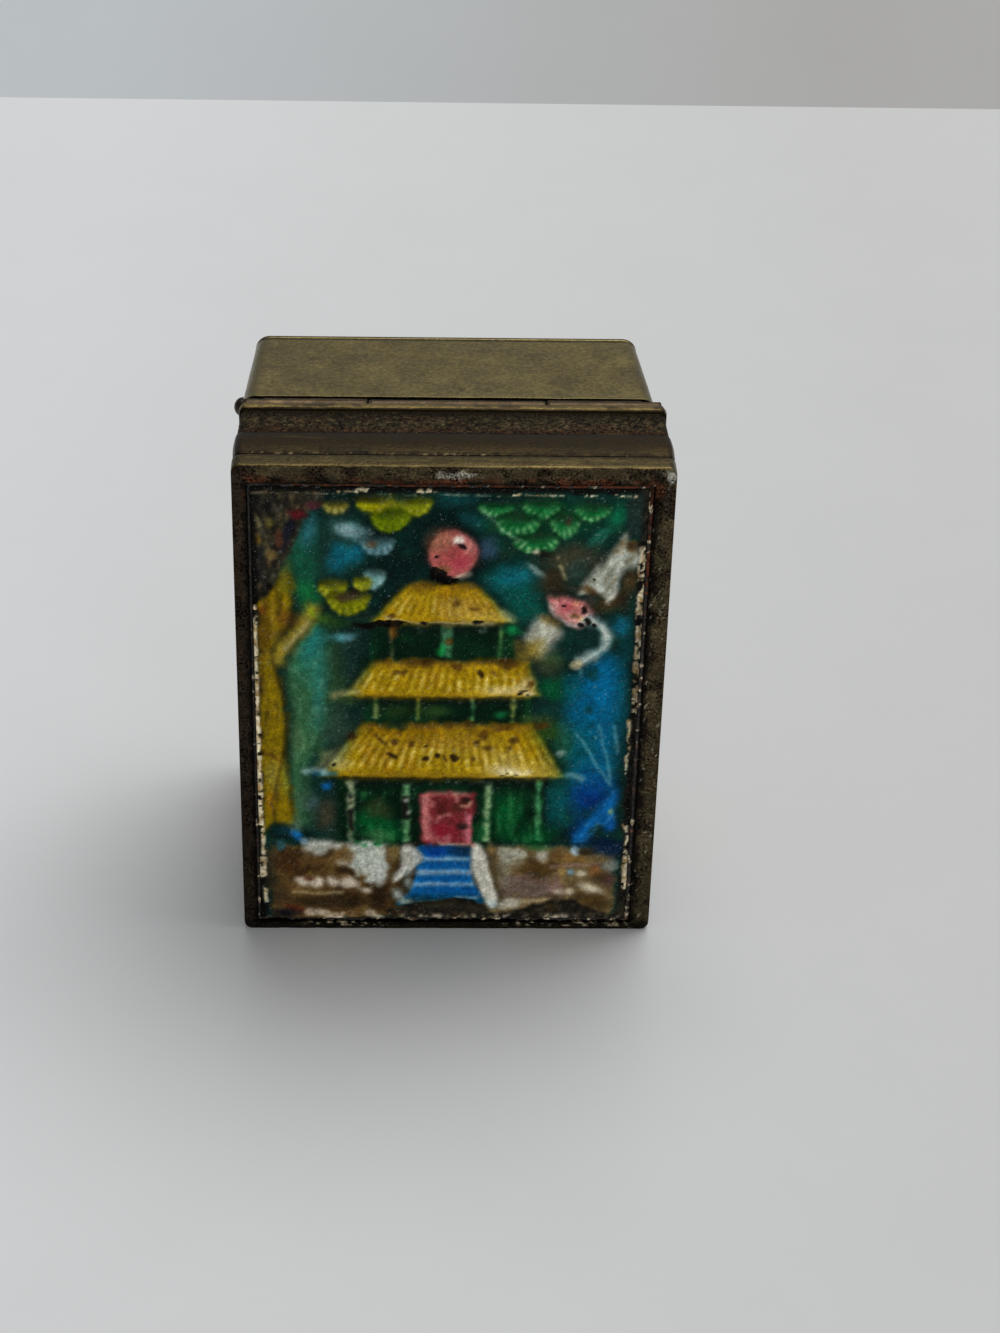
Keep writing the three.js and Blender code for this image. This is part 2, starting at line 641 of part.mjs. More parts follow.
const body = new THREE.Group();
body.add(piece('body_band', makeBodyBand(), patinaBrass));
body.add(piece('base_plate', makeBasePlate(), patinaBrass));
body.add(piece('closing_lip', makeClosingLip(), patinaBrass));
body.add(piece(
  'hinge_knuckle_left', makeBodyKnuckle(-BARREL_HALF, KNUCKLE_LEFT_END - KNUCKLE_GAP / 2), hingeBrass,
));
body.add(piece(
  'hinge_knuckle_right', makeBodyKnuckle(KNUCKLE_RIGHT_END + KNUCKLE_GAP / 2, BARREL_HALF), hingeBrass,
));
body.add(piece('hinge_pin', makeHingePin(), pinSteel));

// Stood on its front edge with the lid's face forward, centred over its footprint
const headReach = BARREL_HALF + PIN_END_CLEAR + HEAD_T;
const box = new THREE.Group();
box.add(lid, body);
box.rotation.x = Math.PI / 2;
box.position.set(Math.max(headReach - HALF_W, 0) / 2, (FACE_Z + RELIEF - PLAQUE_DROP) / 2, 0);

const snuffBox = new THREE.Group();
snuffBox.add(box);
snuffBox.updateMatrixWorld(true);

export default snuffBox;
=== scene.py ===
import json
import math

import bpy
import numpy as np
from mathutils import Matrix, Vector


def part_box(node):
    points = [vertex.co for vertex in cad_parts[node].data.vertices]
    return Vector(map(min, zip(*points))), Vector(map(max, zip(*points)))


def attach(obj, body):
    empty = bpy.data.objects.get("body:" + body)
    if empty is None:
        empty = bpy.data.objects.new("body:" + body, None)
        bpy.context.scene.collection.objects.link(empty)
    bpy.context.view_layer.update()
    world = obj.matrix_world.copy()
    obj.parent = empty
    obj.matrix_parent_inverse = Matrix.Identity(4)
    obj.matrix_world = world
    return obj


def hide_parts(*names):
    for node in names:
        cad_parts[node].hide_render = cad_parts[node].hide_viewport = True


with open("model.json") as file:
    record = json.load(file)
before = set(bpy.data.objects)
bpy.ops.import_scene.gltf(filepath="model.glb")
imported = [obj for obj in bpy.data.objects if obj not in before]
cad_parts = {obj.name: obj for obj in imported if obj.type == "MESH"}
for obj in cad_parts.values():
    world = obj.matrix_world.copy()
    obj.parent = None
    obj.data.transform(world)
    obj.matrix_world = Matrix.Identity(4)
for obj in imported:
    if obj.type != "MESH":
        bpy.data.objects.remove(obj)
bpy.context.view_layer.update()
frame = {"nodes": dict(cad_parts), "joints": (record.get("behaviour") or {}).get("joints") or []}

# The dressed snuff box: worn brass, a repousse enamelled plaque, pitch, copper packing and the hinge.
# Shapes are worked out in millimetres and written to Blender in metres.
MM = 0.001

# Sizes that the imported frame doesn't give by itself, in millimetres
FRAME_EDGE_R = 0.35
FRAME_CORNER_R = 0.8
PLAQUE_T = 0.45
LID_WALL = 1.35
QUIRK = 0.28
QUIRK_RISE = 0.35
SMOOTH_BAND = 4.1
BAND_LEAD = 0.1
BAND_SWELL = 0.08
BAND_INSET = 0.14
COVE_DEPTH = 0.3
COVE_BOW = 0.12
COVE_STEP = 0.12
RIM_T = 1.2
RIM_INSET = 0.22
RIM_STEP = 0.1
RIM_SWELL = 0.12
RIM_EASE = 0.08
BODY_WALL = 1.0
BODY_CORNER_R = 1.3
BODY_DRAFT = 0.6
BODY_SKEW = -0.42
BODY_FLARE = 0.28
BASE_EDGE_R = 0.6
BASE_REACH = 17.0
HINGE_GAP = 0.65
NOTCH_CLEAR = 0.3
BARREL_R = 0.75
BORE_R = 0.47
LEAF_T = 0.55
PIN_HEAD_T = 0.8
PIN_HEAD_R = 0.88
PIN_R = 0.42
PEEN_T = 0.25
BARREL_EASE = 0.07
SEAM_DEPTH = 0.1
LEAF_LEAD = 0.35
LEAF_EDGE_R = 0.12
PITCH_GAP = 0.04
PITCH_REACH = 6
PITCH_SEAT = 0.03
PITCH_CREST = 0.55
SHIM_EDGE_R = 0.04
SHIM_RAGGED = 0.22
OPENING_R = 0.15

# Enamel and metal colours as plain light shows them, red, green and blue from 0 to 255
BLACK = (14, 12, 10)
SOOT = (30, 26, 20)
CREAM = (196, 182, 150)
WHITE = (196, 200, 190)
COLD_WHITE = (168, 188, 186)
AMBER = (176, 142, 8)
AMBER_HIGHLIGHT = (230, 216, 152)
AMBER_DEEP = (124, 92, 2)
LEAF_YELLOW = (112, 120, 2)
LEAF_LIME = (86, 106, 0)
PINE = (8, 90, 40)
PINE_HIGHLIGHT = (158, 200, 138)
GREEN_DARK = (3, 30, 14)
TEAL_BLACK = (3, 26, 24)
TEAL_DEEP = (8, 44, 38)
AZURE = (0, 92, 130)
BLUE = (2, 62, 128)
NAVY = (4, 28, 56)
WALL_BRASS = (122, 110, 70)
BAND_BRASS = (44, 33, 12)
ROUGH_BRASS = (48, 41, 26)
RIM_BRASS = (122, 104, 60)
FILLET_BRASS = (70, 60, 36)
FACE_BRASS = (58, 51, 36)
BARREL_BRASS = (66, 55, 40)
SOLDER = (150, 150, 142)
RUST = (78, 42, 26)
IRON = (44, 38, 32)


def corner_box(node):
    """Lowest and highest corner of a node in millimetres."""
    low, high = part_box(node)
    return np.array(low) / MM, np.array(high) / MM


FACE_LOW, FACE_HIGH = corner_box("face_frame")
OPEN_LOW, OPEN_HIGH = corner_box("pitch_bed")
PLAQUE_LOW, PLAQUE_HIGH = corner_box("enamel_plaque")
_, MOULD_HIGH = corner_box("lid_moulding_hinge")
BODY_LOW, BODY_HIGH = corner_box("body_band")
BASE_LOW, BASE_HIGH = corner_box("base_plate")
PIN_LOW, PIN_HIGH = corner_box("hinge_pin")

MID_X = (FACE_LOW[0] + FACE_HIGH[0]) / 2
MID_Z = (FACE_LOW[2] + FACE_HIGH[2]) / 2
FACE_Y = FACE_LOW[1]
FRAME_T = FACE_HIGH[1] - FACE_LOW[1]
LID_DEPTH = MOULD_HIGH[1] - FACE_Y
PLAQUE_Y = PLAQUE_HIGH[1] - PLAQUE_T
RELIEF = PLAQUE_Y - PLAQUE_LOW[1]
PLAQUE_SINK = PLAQUE_Y - FACE_Y
BAND_END = FRAME_T + SMOOTH_BAND
COVE_END = LID_DEPTH - RIM_T
PEEN_X = PIN_HIGH[0] - PEEN_T
HINGE_Y = frame["joints"][0]["pos_m"][1] / MM
HINGE_Z = frame["joints"][0]["pos_m"][2] / MM

# How far a point appears to rise for each millimetre that it lies deeper, from the photograph's height
VIEW_SLOPE = 0.668

# Points across, along and round the corners of a face, over the plaque, along or round other pieces
FRAME_STEPS = (150, 190)
PITCH_STEPS = (200, 250)
BODY_STEPS = (90, 110, 8)
WALL_STEPS = 26
MOULDING_STEPS = 260
PLAQUE_GRID = (262, 359)
BARREL_STEPS = (90, 40)
LEAF_STEPS = 60
SHIM_STEPS = 160
PIN_TURNS = 32

# Where round a barrel its seam runs and half how wide it is, in radians
SEAM_TURN = 1.0
SEAM_HALF = 0.09

# Swells to a metre in the noise of painted metal
FINE_GRAIN = 2600.0
BROAD_GRAIN = 420.0
BRUSHED_GRAIN = 900.0
GRIT_GRAIN = 4600.0


# Noise and soft steps


def lattice_noise(u, v, cell, seed):
    """Smooth noise from -1 to 1 over a plane, with swells about one cell wide."""
    side = 128
    table = np.random.default_rng(seed).uniform(-1.0, 1.0, (side, side))
    fu, fv = np.asarray(u) / cell, np.asarray(v) / cell
    iu, iv = np.floor(fu).astype(int), np.floor(fv).astype(int)
    tu, tv = fu - iu, fv - iv
    tu, tv = tu * tu * (3 - 2 * tu), tv * tv * (3 - 2 * tv)
    a = table[iu % side, iv % side] * (1 - tu) + table[(iu + 1) % side, iv % side] * tu
    b = table[iu % side, (iv + 1) % side] * (1 - tu) + table[(iu + 1) % side, (iv + 1) % side] * tu
    return a * (1 - tv) + b * tv


def cloud(u, v, cell, seed, octaves=3):
    """Layered noise, each layer half as large and half as strong as the one before."""
    seed_step, span = 31, 1.6
    total = 0.0
    for k in range(octaves):
        total = total + lattice_noise(u, v, cell / 2**k, seed + seed_step * k) / 2**k
    return total / span


def smooth(low, high, value):
    """A soft step from 0 at low to 1 at high."""
    t = np.clip((value - low) / (high - low), 0.0, 1.0)
    return t * t * (3.0 - 2.0 * t)


def mix(a, b, share):
    """A value that share of the way from a to b."""
    return a + (b - a) * share


def tint(colour, shape):
    """A colour spread over an array of that shape, as shares of 1."""
    return np.broadcast_to(np.array(colour) / 255.0, (*shape, 3)).copy()


def cover(colours, colour, share):
    """Lays a colour over an array of colours."""
    return mix(colours, np.array(colour) / 255.0, np.asarray(share)[..., None])


def coats(colours, *layers):
    """Lays several colours over an array of colours, each with its share."""
    for colour, share in layers:
        colours = cover(colours, colour, share)
    return colours


def linear(colours):
    """Display colours as the linear values that shaders take."""
    c = np.clip(colours, 0.0, 1.0)
    return np.where(c <= 0.04045, c / 12.92, ((c + 0.055) / 1.055) ** 2.4)


# Meshes


def quad_faces(rows, columns, wrap_rows, wrap_columns):
    """Faces between the points of a grid, joined up at its ends where it wraps."""
    r = np.arange(rows if wrap_rows else rows - 1)
    c = np.arange(columns if wrap_columns else columns - 1)
    i, j = np.meshgrid(r, c, indexing="ij")
    i2, j2 = (i + 1) % rows, (j + 1) % columns
    faces = np.stack([i * columns + j, i2 * columns + j, i2 * columns + j2, i * columns + j2], -1)
    return faces.reshape(-1, 4).tolist()


def capped_faces(rows, count):
    """Faces of a tube of closed rings, with one more over each end."""
    first = list(range(count))
    last = [(rows - 1) * count + k for k in range(count)]
    return quad_faces(rows, count, False, True) + [first, last[::-1]]


def make_piece(name, points, faces, colours, rough, material):
    """One smooth-shaded mesh with its colour and roughness kept on its vertices."""
    mesh = bpy.data.meshes.new(name)
    mesh.from_pydata((points.reshape(-1, 3) * MM).tolist(), [], faces)
    mesh.validate()
    paint = mesh.attributes.new("paint", "FLOAT_COLOR", "POINT")
    values = np.ones((len(mesh.vertices), 4))
    values[:, :3] = linear(colours.reshape(-1, 3))
    paint.data.foreach_set("color", values.ravel())
    gloss = mesh.attributes.new("rough", "FLOAT", "POINT")
    gloss.data.foreach_set("value", np.clip(rough, 0.05, 1.0).ravel())
    mesh.shade_smooth()
    mesh.materials.append(material)
    piece = bpy.data.objects.new(name, mesh)
    bpy.context.scene.collection.objects.link(piece)
    point_outwards(mesh)
    return piece


def point_outwards(mesh):
    """Turns a closed mesh's faces so that they look out."""
    co = np.zeros(len(mesh.vertices) * 3)
    mesh.vertices.foreach_get("co", co)
    co = co.reshape(-1, 3)
    mesh.calc_loop_triangles()
    tri = np.zeros(len(mesh.loop_triangles) * 3, int)
    mesh.loop_triangles.foreach_get("vertices", tri)
    a, b, c = (co[tri.reshape(-1, 3)[:, k]] for k in range(3))
    if np.einsum("ij,ij->i", a, np.cross(b, c)).sum() < 0:
        mesh.flip_normals()


def dress(piece, body, slot, *nodes):
    """Puts a piece in place of its nodes and lets it ride on its body; its slot is not used."""
    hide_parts(*nodes)
    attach(piece, body)


def rectangle_path(left, right, low, high, radius, across, along, arc=5):
    """Points round a rectangle with round corners, the same number for any size."""
    points = []
    corners = ((right, low, -90, along), (right, high, 0, across),
               (left, high, 90, along), (left, low, 180, across))
    for x, z, start, steps in corners:
        cx = x - math.copysign(radius, x - (left + right) / 2)
        cz = z - math.copysign(radius, z - (low + high) / 2)
        for k in range(arc + 1):
            angle = math.radians(start + 90 * k / arc)
            points.append((cx + radius * math.cos(angle), cz + radius * math.sin(angle)))
        points.extend([None] * (steps - 1))
    return fill_gaps(np.array([(np.nan, np.nan) if p is None else p for p in points]))


def fill_gaps(points):
    """Spreads the missing points of a closed path evenly between their neighbours."""
    known = np.flatnonzero(~np.isnan(points[:, 0]))
    count = len(points)
    places = np.arange(count)
    ends = np.append(known, known[0] + count)
    for axis in range(2):
        values = np.append(points[known, axis], points[known[0], axis])
        points[:, axis] = np.interp(places, ends, values)
    return points


def box_path(low, high, inset, radius, across, along):
    """The outline of a box as the lid's face shows it, drawn in by an inset."""
    return rectangle_path(low[0] + inset, high[0] - inset, low[2] + inset, high[2] - inset, radius,
                          across, along)


def ring(path, y):
    """A path in the plane of the lid's face, set at depth y."""
    return np.stack([path[:, 0], np.broadcast_to(y, len(path)), path[:, 1]], -1)


# Materials


def add_node(tree, kind, **values):
    """A shader node with values for its sockets or settings."""
    node = tree.nodes.new(kind)
    for key, value in values.items():
        if key in node.inputs:
            node.inputs[key].default_value = value
        else:
            setattr(node, key, value)
    return node


def grain(tree, scale, detail=4.0, stretch=(1.0, 1.0, 1.0)):
    """Noise fixed to the piece, with about scale swells to a metre."""
    place = add_node(tree, "ShaderNodeTexCoord")
    fit = add_node(tree, "ShaderNodeMapping", Scale=stretch)
    noise = add_node(tree, "ShaderNodeTexNoise", Scale=scale, Detail=detail, Roughness=0.6)
    tree.links.new(place.outputs["Object"], fit.inputs["Vector"])
    tree.links.new(fit.outputs["Vector"], noise.inputs["Vector"])
    return noise.outputs["Fac"]


def ranged(tree, value, low, high, to_low, to_high):
    """A socket's range from low to high, spread over another range."""
    node = add_node(tree, "ShaderNodeMapRange")
    for name, number in zip(("From Min", "From Max", "To Min", "To Max"), (low, high, to_low, to_high)):
        node.inputs[name].default_value = number
    tree.links.new(value, node.inputs["Value"])
    return node.outputs["Result"]


def swing(tree, noise, reach, middle=1.0):
    """Noise as values that swing about a middle."""
    return ranged(tree, noise, 0.3, 0.7, middle - reach, middle + reach)


def blended(tree, mode, share, a, b):
    """Mixes two colours; share, a and b are sockets or plain values."""
    node = add_node(tree, "ShaderNodeMix", data_type="RGBA", blend_type=mode)
    for socket, value in ((node.inputs[0], share), (node.inputs[6], a), (node.inputs[7], b)):
        if isinstance(value, bpy.types.NodeSocket):
            tree.links.new(value, socket)
        else:
            socket.default_value = value
    return node.outputs[2]


def summed(tree, a, b, operation="ADD"):
    """Sum of a socket and a socket or value, or what the operation makes of them."""
    node = add_node(tree, "ShaderNodeMath", operation=operation)
    tree.links.new(a, node.inputs[0])
    if isinstance(b, bpy.types.NodeSocket):
        tree.links.new(b, node.inputs[1])
    else:
        node.inputs[1].default_value = b
    return node.outputs["Value"]


def bumped(tree, shader, height, distance):
    """Fine bumps on a shader, up to a distance in metres."""
    node = add_node(tree, "ShaderNodeBump", Strength=1.0, Distance=distance)
    tree.links.new(height, node.inputs["Height"])
    tree.links.new(node.outputs["Normal"], shader.inputs["Normal"])


def start_material(name, metallic):
    """A new material with its node tree and shader."""
    material = bpy.data.materials.new(name)
    material.use_nodes = True
    tree = material.node_tree
    shader = tree.nodes["Principled BSDF"]
    shader.inputs["Metallic"].default_value = metallic
    return material, tree, shader


def rgba(colour):
    """A named colour as a shader socket takes it."""
    return (*linear(np.array(colour) / 255.0), 1.0)


def painted_metal(name, metallic, mottle, scratch, bump):
    """Metal whose patina is on its vertices, with finer mottling, scratches and bumps from nodes."""
    material, tree, shader = start_material(name, metallic)
    paint = add_node(tree, "ShaderNodeAttribute", attribute_name="paint")
    gloss = add_node(tree, "ShaderNodeAttribute", attribute_name="rough")
    fine = grain(tree, FINE_GRAIN)
    broad = grain(tree, BROAD_GRAIN, 3.0)
    brushed = grain(tree, BRUSHED_GRAIN, 5.0, (0.12, 1.0, 1.6))
    shade = swing(tree, fine, mottle)
    drift = ranged(tree, broad, 0.35, 0.65, 1.0 - mottle / 2, 1.0 + mottle / 2)
    shade = summed(tree, shade, drift, "MULTIPLY")
    colour = blended(tree, "MULTIPLY", 1.0, paint.outputs["Color"], shade)
    coarse = ranged(tree, gloss.outputs["Fac"], 0.52, 0.62, 0.0, 1.0)
    grit = ranged(tree, grain(tree, GRIT_GRAIN, 2.0), 0.36, 0.64, 0.05, 2.3)
    colour = blended(tree, "MULTIPLY", coarse, colour, grit)
    line = ranged(tree, brushed, 0.66, 0.74, 0.0, scratch)
    colour = blended(tree, "MIX", line, colour, rgba(RIM_BRASS))
    tree.links.new(colour, shader.inputs["Base Color"])
    roughness = summed(tree, gloss.outputs["Fac"], swing(tree, fine, 0.08, 0.0))
    tree.links.new(roughness, shader.inputs["Roughness"])
    bumped(tree, shader, summed(tree, fine, brushed), bump)
    return material


def plain_metal(name, dark, light, roughness, bump):
    """Metal for the pieces that keep the frame's own solids: two patina colours in clouds."""
    material, tree, shader = start_material(name, 1.0)
    fine = grain(tree, 2200.0)
    broad = grain(tree, 300.0, 4.0)
    share = ranged(tree, summed(tree, fine, broad), 0.7, 1.3, 0.0, 1.0)
    tree.links.new(blended(tree, "MIX", share, rgba(dark), rgba(light)), shader.inputs["Base Color"])
    tree.links.new(swing(tree, fine, 0.1, roughness), shader.inputs["Roughness"])
    bumped(tree, shader, fine, bump)
    return material


def enamel_material():
    """Fired glass: its picture is on its vertices, with grain, pale dust and fine bumps from nodes."""
    material, tree, shader = start_material("fired_enamel", 0.0)
    paint = add_node(tree, "ShaderNodeAttribute", attribute_name="paint")
    gloss = add_node(tree, "ShaderNodeAttribute", attribute_name="rough")
    fine = grain(tree, 5200.0)
    broad = grain(tree, 900.0)
    shade = swing(tree, fine, 0.34)
    shade = summed(tree, shade, swing(tree, broad, 0.18), "MULTIPLY")
    colour = blended(tree, "MULTIPLY", 1.0, paint.outputs["Color"], shade)
    for size, low, high, share in ((4200.0, 0.76, 0.8, 0.4), (8200.0, 0.7, 0.77, 0.3)):
        dust = ranged(tree, grain(tree, size, 1.0), low, high, 0.0, share)
        colour = blended(tree, "MIX", dust, colour, rgba(COLD_WHITE))
    tree.links.new(colour, shader.inputs["Base Color"])
    roughness = summed(tree, gloss.outputs["Fac"], swing(tree, fine, 0.07, 0.0))
    tree.links.new(roughness, shader.inputs["Roughness"])
    shader.inputs["Specular IOR Level"].default_value = 0.03
    bumped(tree, shader, summed(tree, fine, broad), 0.00004)
    return material


def paper_material(name, left, right):
    """Plain paper that is a little darker towards the right, a painted fall-off of the light, with a faint
    cloudiness.
    """
    material, tree, shader = start_material(name, 0.0)
    place = add_node(tree, "ShaderNodeTexCoord")
    parts = add_node(tree, "ShaderNodeSeparateXYZ")
    tree.links.new(place.outputs["Object"], parts.inputs["Vector"])
    share = ranged(tree, parts.outputs["X"], -0.05, 0.06, 0.0, 1.0)
    colour = blended(tree, "MIX", share, rgba(left), rgba(right))
    tone = swing(tree, grain(tree, 60.0, 6.0), 0.01)
    tree.links.new(blended(tree, "MULTIPLY", 1.0, colour, tone), shader.inputs["Base Color"])
    shader.inputs["Roughness"].default_value = 0.8
    shader.inputs["Specular IOR Level"].default_value = 0.1
    return material


# The plaque's picture. Its points are millimetres right of the face's centre line and above its front
# edge, where they appear on the frame's front plane from the photograph's height.


class Picture:
    """Relief height, enamel colour and roughness over the plaque."""

    def __init__(self, columns, rows, seen_higher):
        x = np.linspace(PLAQUE_LOW[0], PLAQUE_HIGH[0], columns) - MID_X
        z = np.linspace(PLAQUE_LOW[2], PLAQUE_HIGH[2], rows)
        self.true_x, self.true_z = np.meshgrid(x, z, indexing="ij")
        self.x = self.true_x + 0.1 * self.noise(1.3, 11) + 0.06 * self.noise(0.5, 31)
        self.z = self.true_z + seen_higher + 0.1 * self.noise(1.3, 12) + 0.06 * self.noise(0.5, 32)
        self.shape = self.x.shape
        self.drift_x = self.x + 0.9 * self.noise(2.6, 21) + 0.25 * self.noise(0.9, 23)
        self.drift_z = self.z + 0.9 * self.noise(2.6, 22) + 0.25 * self.noise(0.9, 24)
        self.rag = self.noise(0.8, 14)
        self.crumb = self.noise(0.42, 15)
        self.drift = self.noise(2.4, 16)
        self.height = 0.04 * self.noise(3.0, 13)
        self.colour = tint(TEAL_DEEP, self.shape)
        self.rough = np.full(self.shape, 0.3)

    def paint(self, colour, share):
        """Lays a colour over the picture."""
        self.colour = cover(self.colour, colour, share)

    def lift(self, height):
        """Raises the sheet where a form stands higher than what is there."""
        self.height = np.maximum(self.height, height)

    def noise(self, cell, seed):
        """Layered noise that is fixed to the plaque."""
        return cloud(self.true_x, self.true_z, cell, seed)


def inside(distance, edge=0.14):
    """1 inside a form and 0 outside it, over a soft edge."""
    return 1.0 - smooth(-edge, edge, distance)


def oval(p, at, size, turn=0.0, drift=0.0):
    """Distance to an oval with those half sizes, pushed out of shape where it drifts."""
    dx, dz = mix(p.x, p.drift_x, drift) - at[0], mix(p.z, p.drift_z, drift) - at[1]
    c, s = math.cos(turn), math.sin(turn)
    u, v = (dx * c + dz * s) / size[0], (dz * c - dx * s) / size[1]
    return (np.hypot(u, v) - 1.0) * min(size)


def panel(p, left, right, low, high):
    """Distance to an upright rectangle."""
    return np.maximum(np.maximum(left - p.x, p.x - right), np.maximum(low - p.z, p.z - high))


def to_segment(p, a, b):
    """Distance to a straight line between two points."""
    ax, az = a
    dx, dz = b[0] - ax, b[1] - az
    t = np.clip(((p.x - ax) * dx + (p.z - az) * dz) / (dx * dx + dz * dz), 0.0, 1.0)
    return np.hypot(p.x - ax - t * dx, p.z - az - t * dz)


def stroke(p, points, width):
    """Distance to a line of that width, drawn smoothly through the points."""
    nearest = np.full(p.shape, np.inf)
    line = curve(points)
    for a, b in zip(line, line[1:]):
        nearest = np.minimum(nearest, to_segment(p, a, b))
    return nearest - width / 2


def outline(p, points):
    """Distance to a smooth closed outline, negative inside."""
    nearest = np.full(p.shape, np.inf)
    within = np.zeros(p.shape, bool)
    line = curve(points, closed=True)
    for a, b in zip(line, line[1:] + line[:1]):
        nearest = np.minimum(nearest, to_segment(p, a, b))
        if a[1] != b[1]:
            cut = a[0] + (p.z - a[1]) * (b[0] - a[0]) / (b[1] - a[1])
            within ^= ((a[1] > p.z) != (b[1] > p.z)) & (p.x < cut)
    return np.where(within, -nearest, nearest)


def curve(points, steps=4, closed=False):
    """A smooth line through given points."""
    count = len(points)
    pts = np.array(points, float)
    result = []
    for i in range(count if closed else count - 1):
        picks = [i - 1, i, i + 1, i + 2]
        picks = [k % count if closed else min(max(k, 0), count - 1) for k in picks]
        a, b, c, d = pts[picks]
        for k in range(steps):
            t = k / steps
            bend = 2 * b + (c - a) * t + (2 * a - 5 * b + 4 * c - d) * t**2
            bend = bend + (3 * b - a - 3 * c + d) * t**3
            result.append(tuple(bend / 2))
    if not closed:
        result.append(tuple(pts[-1]))
    return result


def wash(p, colour, at, size, strength=0.9, turn=0.0):
    """A cloud of colour that fades out round its middle."""
    reach = oval(p, at, size, turn, min(1.0, 0.6 * min(size))) / min(size) + 1.0
    p.paint(colour, strength * (1.0 - smooth(0.2, 1.4, reach + 0.15 * p.rag)))


def dab(p, colour, at, size, turn=0.0, strength=0.9):
    """A small patch of colour with a ragged edge."""
    edge = oval(p, at, size, turn, 0.3 * min(size)) + min(size) * (0.5 * p.rag + 0.3 * p.crumb)
    p.paint(colour, strength * inside(edge, 0.18))


def brush(p, colour, points, width, strength=0.9, soft=0.14):
    """A brush line of colour."""
    p.paint(colour, strength * inside(stroke(p, points, width) + 0.3 * width * p.rag, soft))


def patch(p, colour, points, strength=0.95, soft=0.25, rise=0.0):
    """A filled outline, raised if it has a rise."""
    shape = outline(p, points)
    if rise:
        p.lift(rise * smooth(0.2, -0.2 - 1.6 * soft, shape))
    p.paint(colour, strength * inside(shape + 0.35 * p.rag + 0.1 * p.crumb, soft))


def ground(p):
    """The dark sea-green ground, blackest round the ball on top."""
    p.paint((16, 62, 50), 0.7 * smooth(0.0, 0.6, p.noise(1.8, 25)))
    p.paint((34, 48, 34), 0.6 * smooth(0.1, 0.6, p.noise(1.5, 26)))
    p.paint(TEAL_BLACK, 0.8 * smooth(0.0, 0.5, p.noise(2.2, 27)))
    wash(p, TEAL_BLACK, (-2.0, 43.6), (4.2, 4.2))
    wash(p, TEAL_BLACK, (1.0, 40.4), (4.0, 3.4), 0.8)
    wash(p, TEAL_BLACK, (-5.4, 40.0), (2.2, 2.0), 0.8)
    wash(p, (12, 40, 32), (-7.4, 32.0), (1.2, 2.4), 0.8)
    wash(p, (70, 84, 30), (-9.4, 26.6), (1.8, 1.0), 0.7)
    wash(p, (58, 70, 34), (-10.6, 19.8), (1.5, 1.3), 0.7)
    wash(p, (30, 50, 42), (-11.6, 13.6), (1.9, 3.4), 0.9)
    wash(p, (90, 78, 26), (7.6, 30.6), (1.4, 0.9), 0.6)
    wash(p, (6, 60, 30), (9.4, 18.6), (1.2, 2.6), 0.8)
    wash(p, (26, 58, 50), (-10.0, 42.0), (2.4, 4.0), 0.8)


def ground_drifts(p):
    """Drifts of blue, brown and green over the ground, from the sky down."""
    wash(p, (10, 62, 62), (0.4, 46.7), (2.2, 1.0))
    wash(p, (14, 82, 92), (1.6, 44.8), (1.4, 0.9), 0.6)
    wash(p, (70, 96, 130), (2.6, 42.3), (1.3, 1.3), 0.9)
    wash(p, (6, 82, 80), (4.9, 38.4), (2.3, 2.6))
    wash(p, (12, 104, 118), (5.3, 38.9), (1.7, 1.5), 0.85)
    wash(p, (6, 82, 70), (6.0, 36.2), (2.4, 2.2), 0.9)
    wash(p, (8, 60, 46), (8.5, 44.4), (6.4, 3.2))
    wash(p, (66, 62, 44), (10.6, 40.6), (3.8, 2.2), 0.9)
    wash(p, (54, 42, 26), (8.6, 38.4), (1.8, 1.5), 0.9)
    wash(p, (26, 70, 72), (11.0, 39.8), (1.4, 0.9), 0.4, 0.8)
    wash(p, (30, 110, 88), (12.6, 43.2), (1.3, 0.6), 0.7, 0.8)
    wash(p, (10, 112, 72), (13.9, 44.9), (1.0, 1.2), 0.85)
    wash(p, (38, 66, 40), (-10.0, 29.0), (1.9, 4.6), 0.9)
    wash(p, (44, 68, 54), (-10.0, 22.4), (2.3, 3.0), 0.9)
    wash(p, (20, 44, 40), (-8.6, 30.6), (1.4, 3.0), 0.8)
    wash(p, (104, 150, 166), (-9.3, 32.7), (1.0, 0.6), 0.75)
    wash(p, (50, 60, 40), (8.4, 29.6), (1.6, 1.6), 0.9)
    wash(p, (2, 86, 46), (8.8, 27.2), (1.5, 1.2))
    wash(p, (52, 90, 28), (8.6, 22.4), (1.9, 1.6), 0.9)
    wash(p, (14, 52, 46), (9.2, 25.0), (1.6, 1.0), 0.8)
    wash(p, (12, 46, 42), (11.6, 32.6), (1.8, 2.0), 0.9)
    wash(p, (6, 82, 84), (10.0, 14.6), (1.7, 3.2))


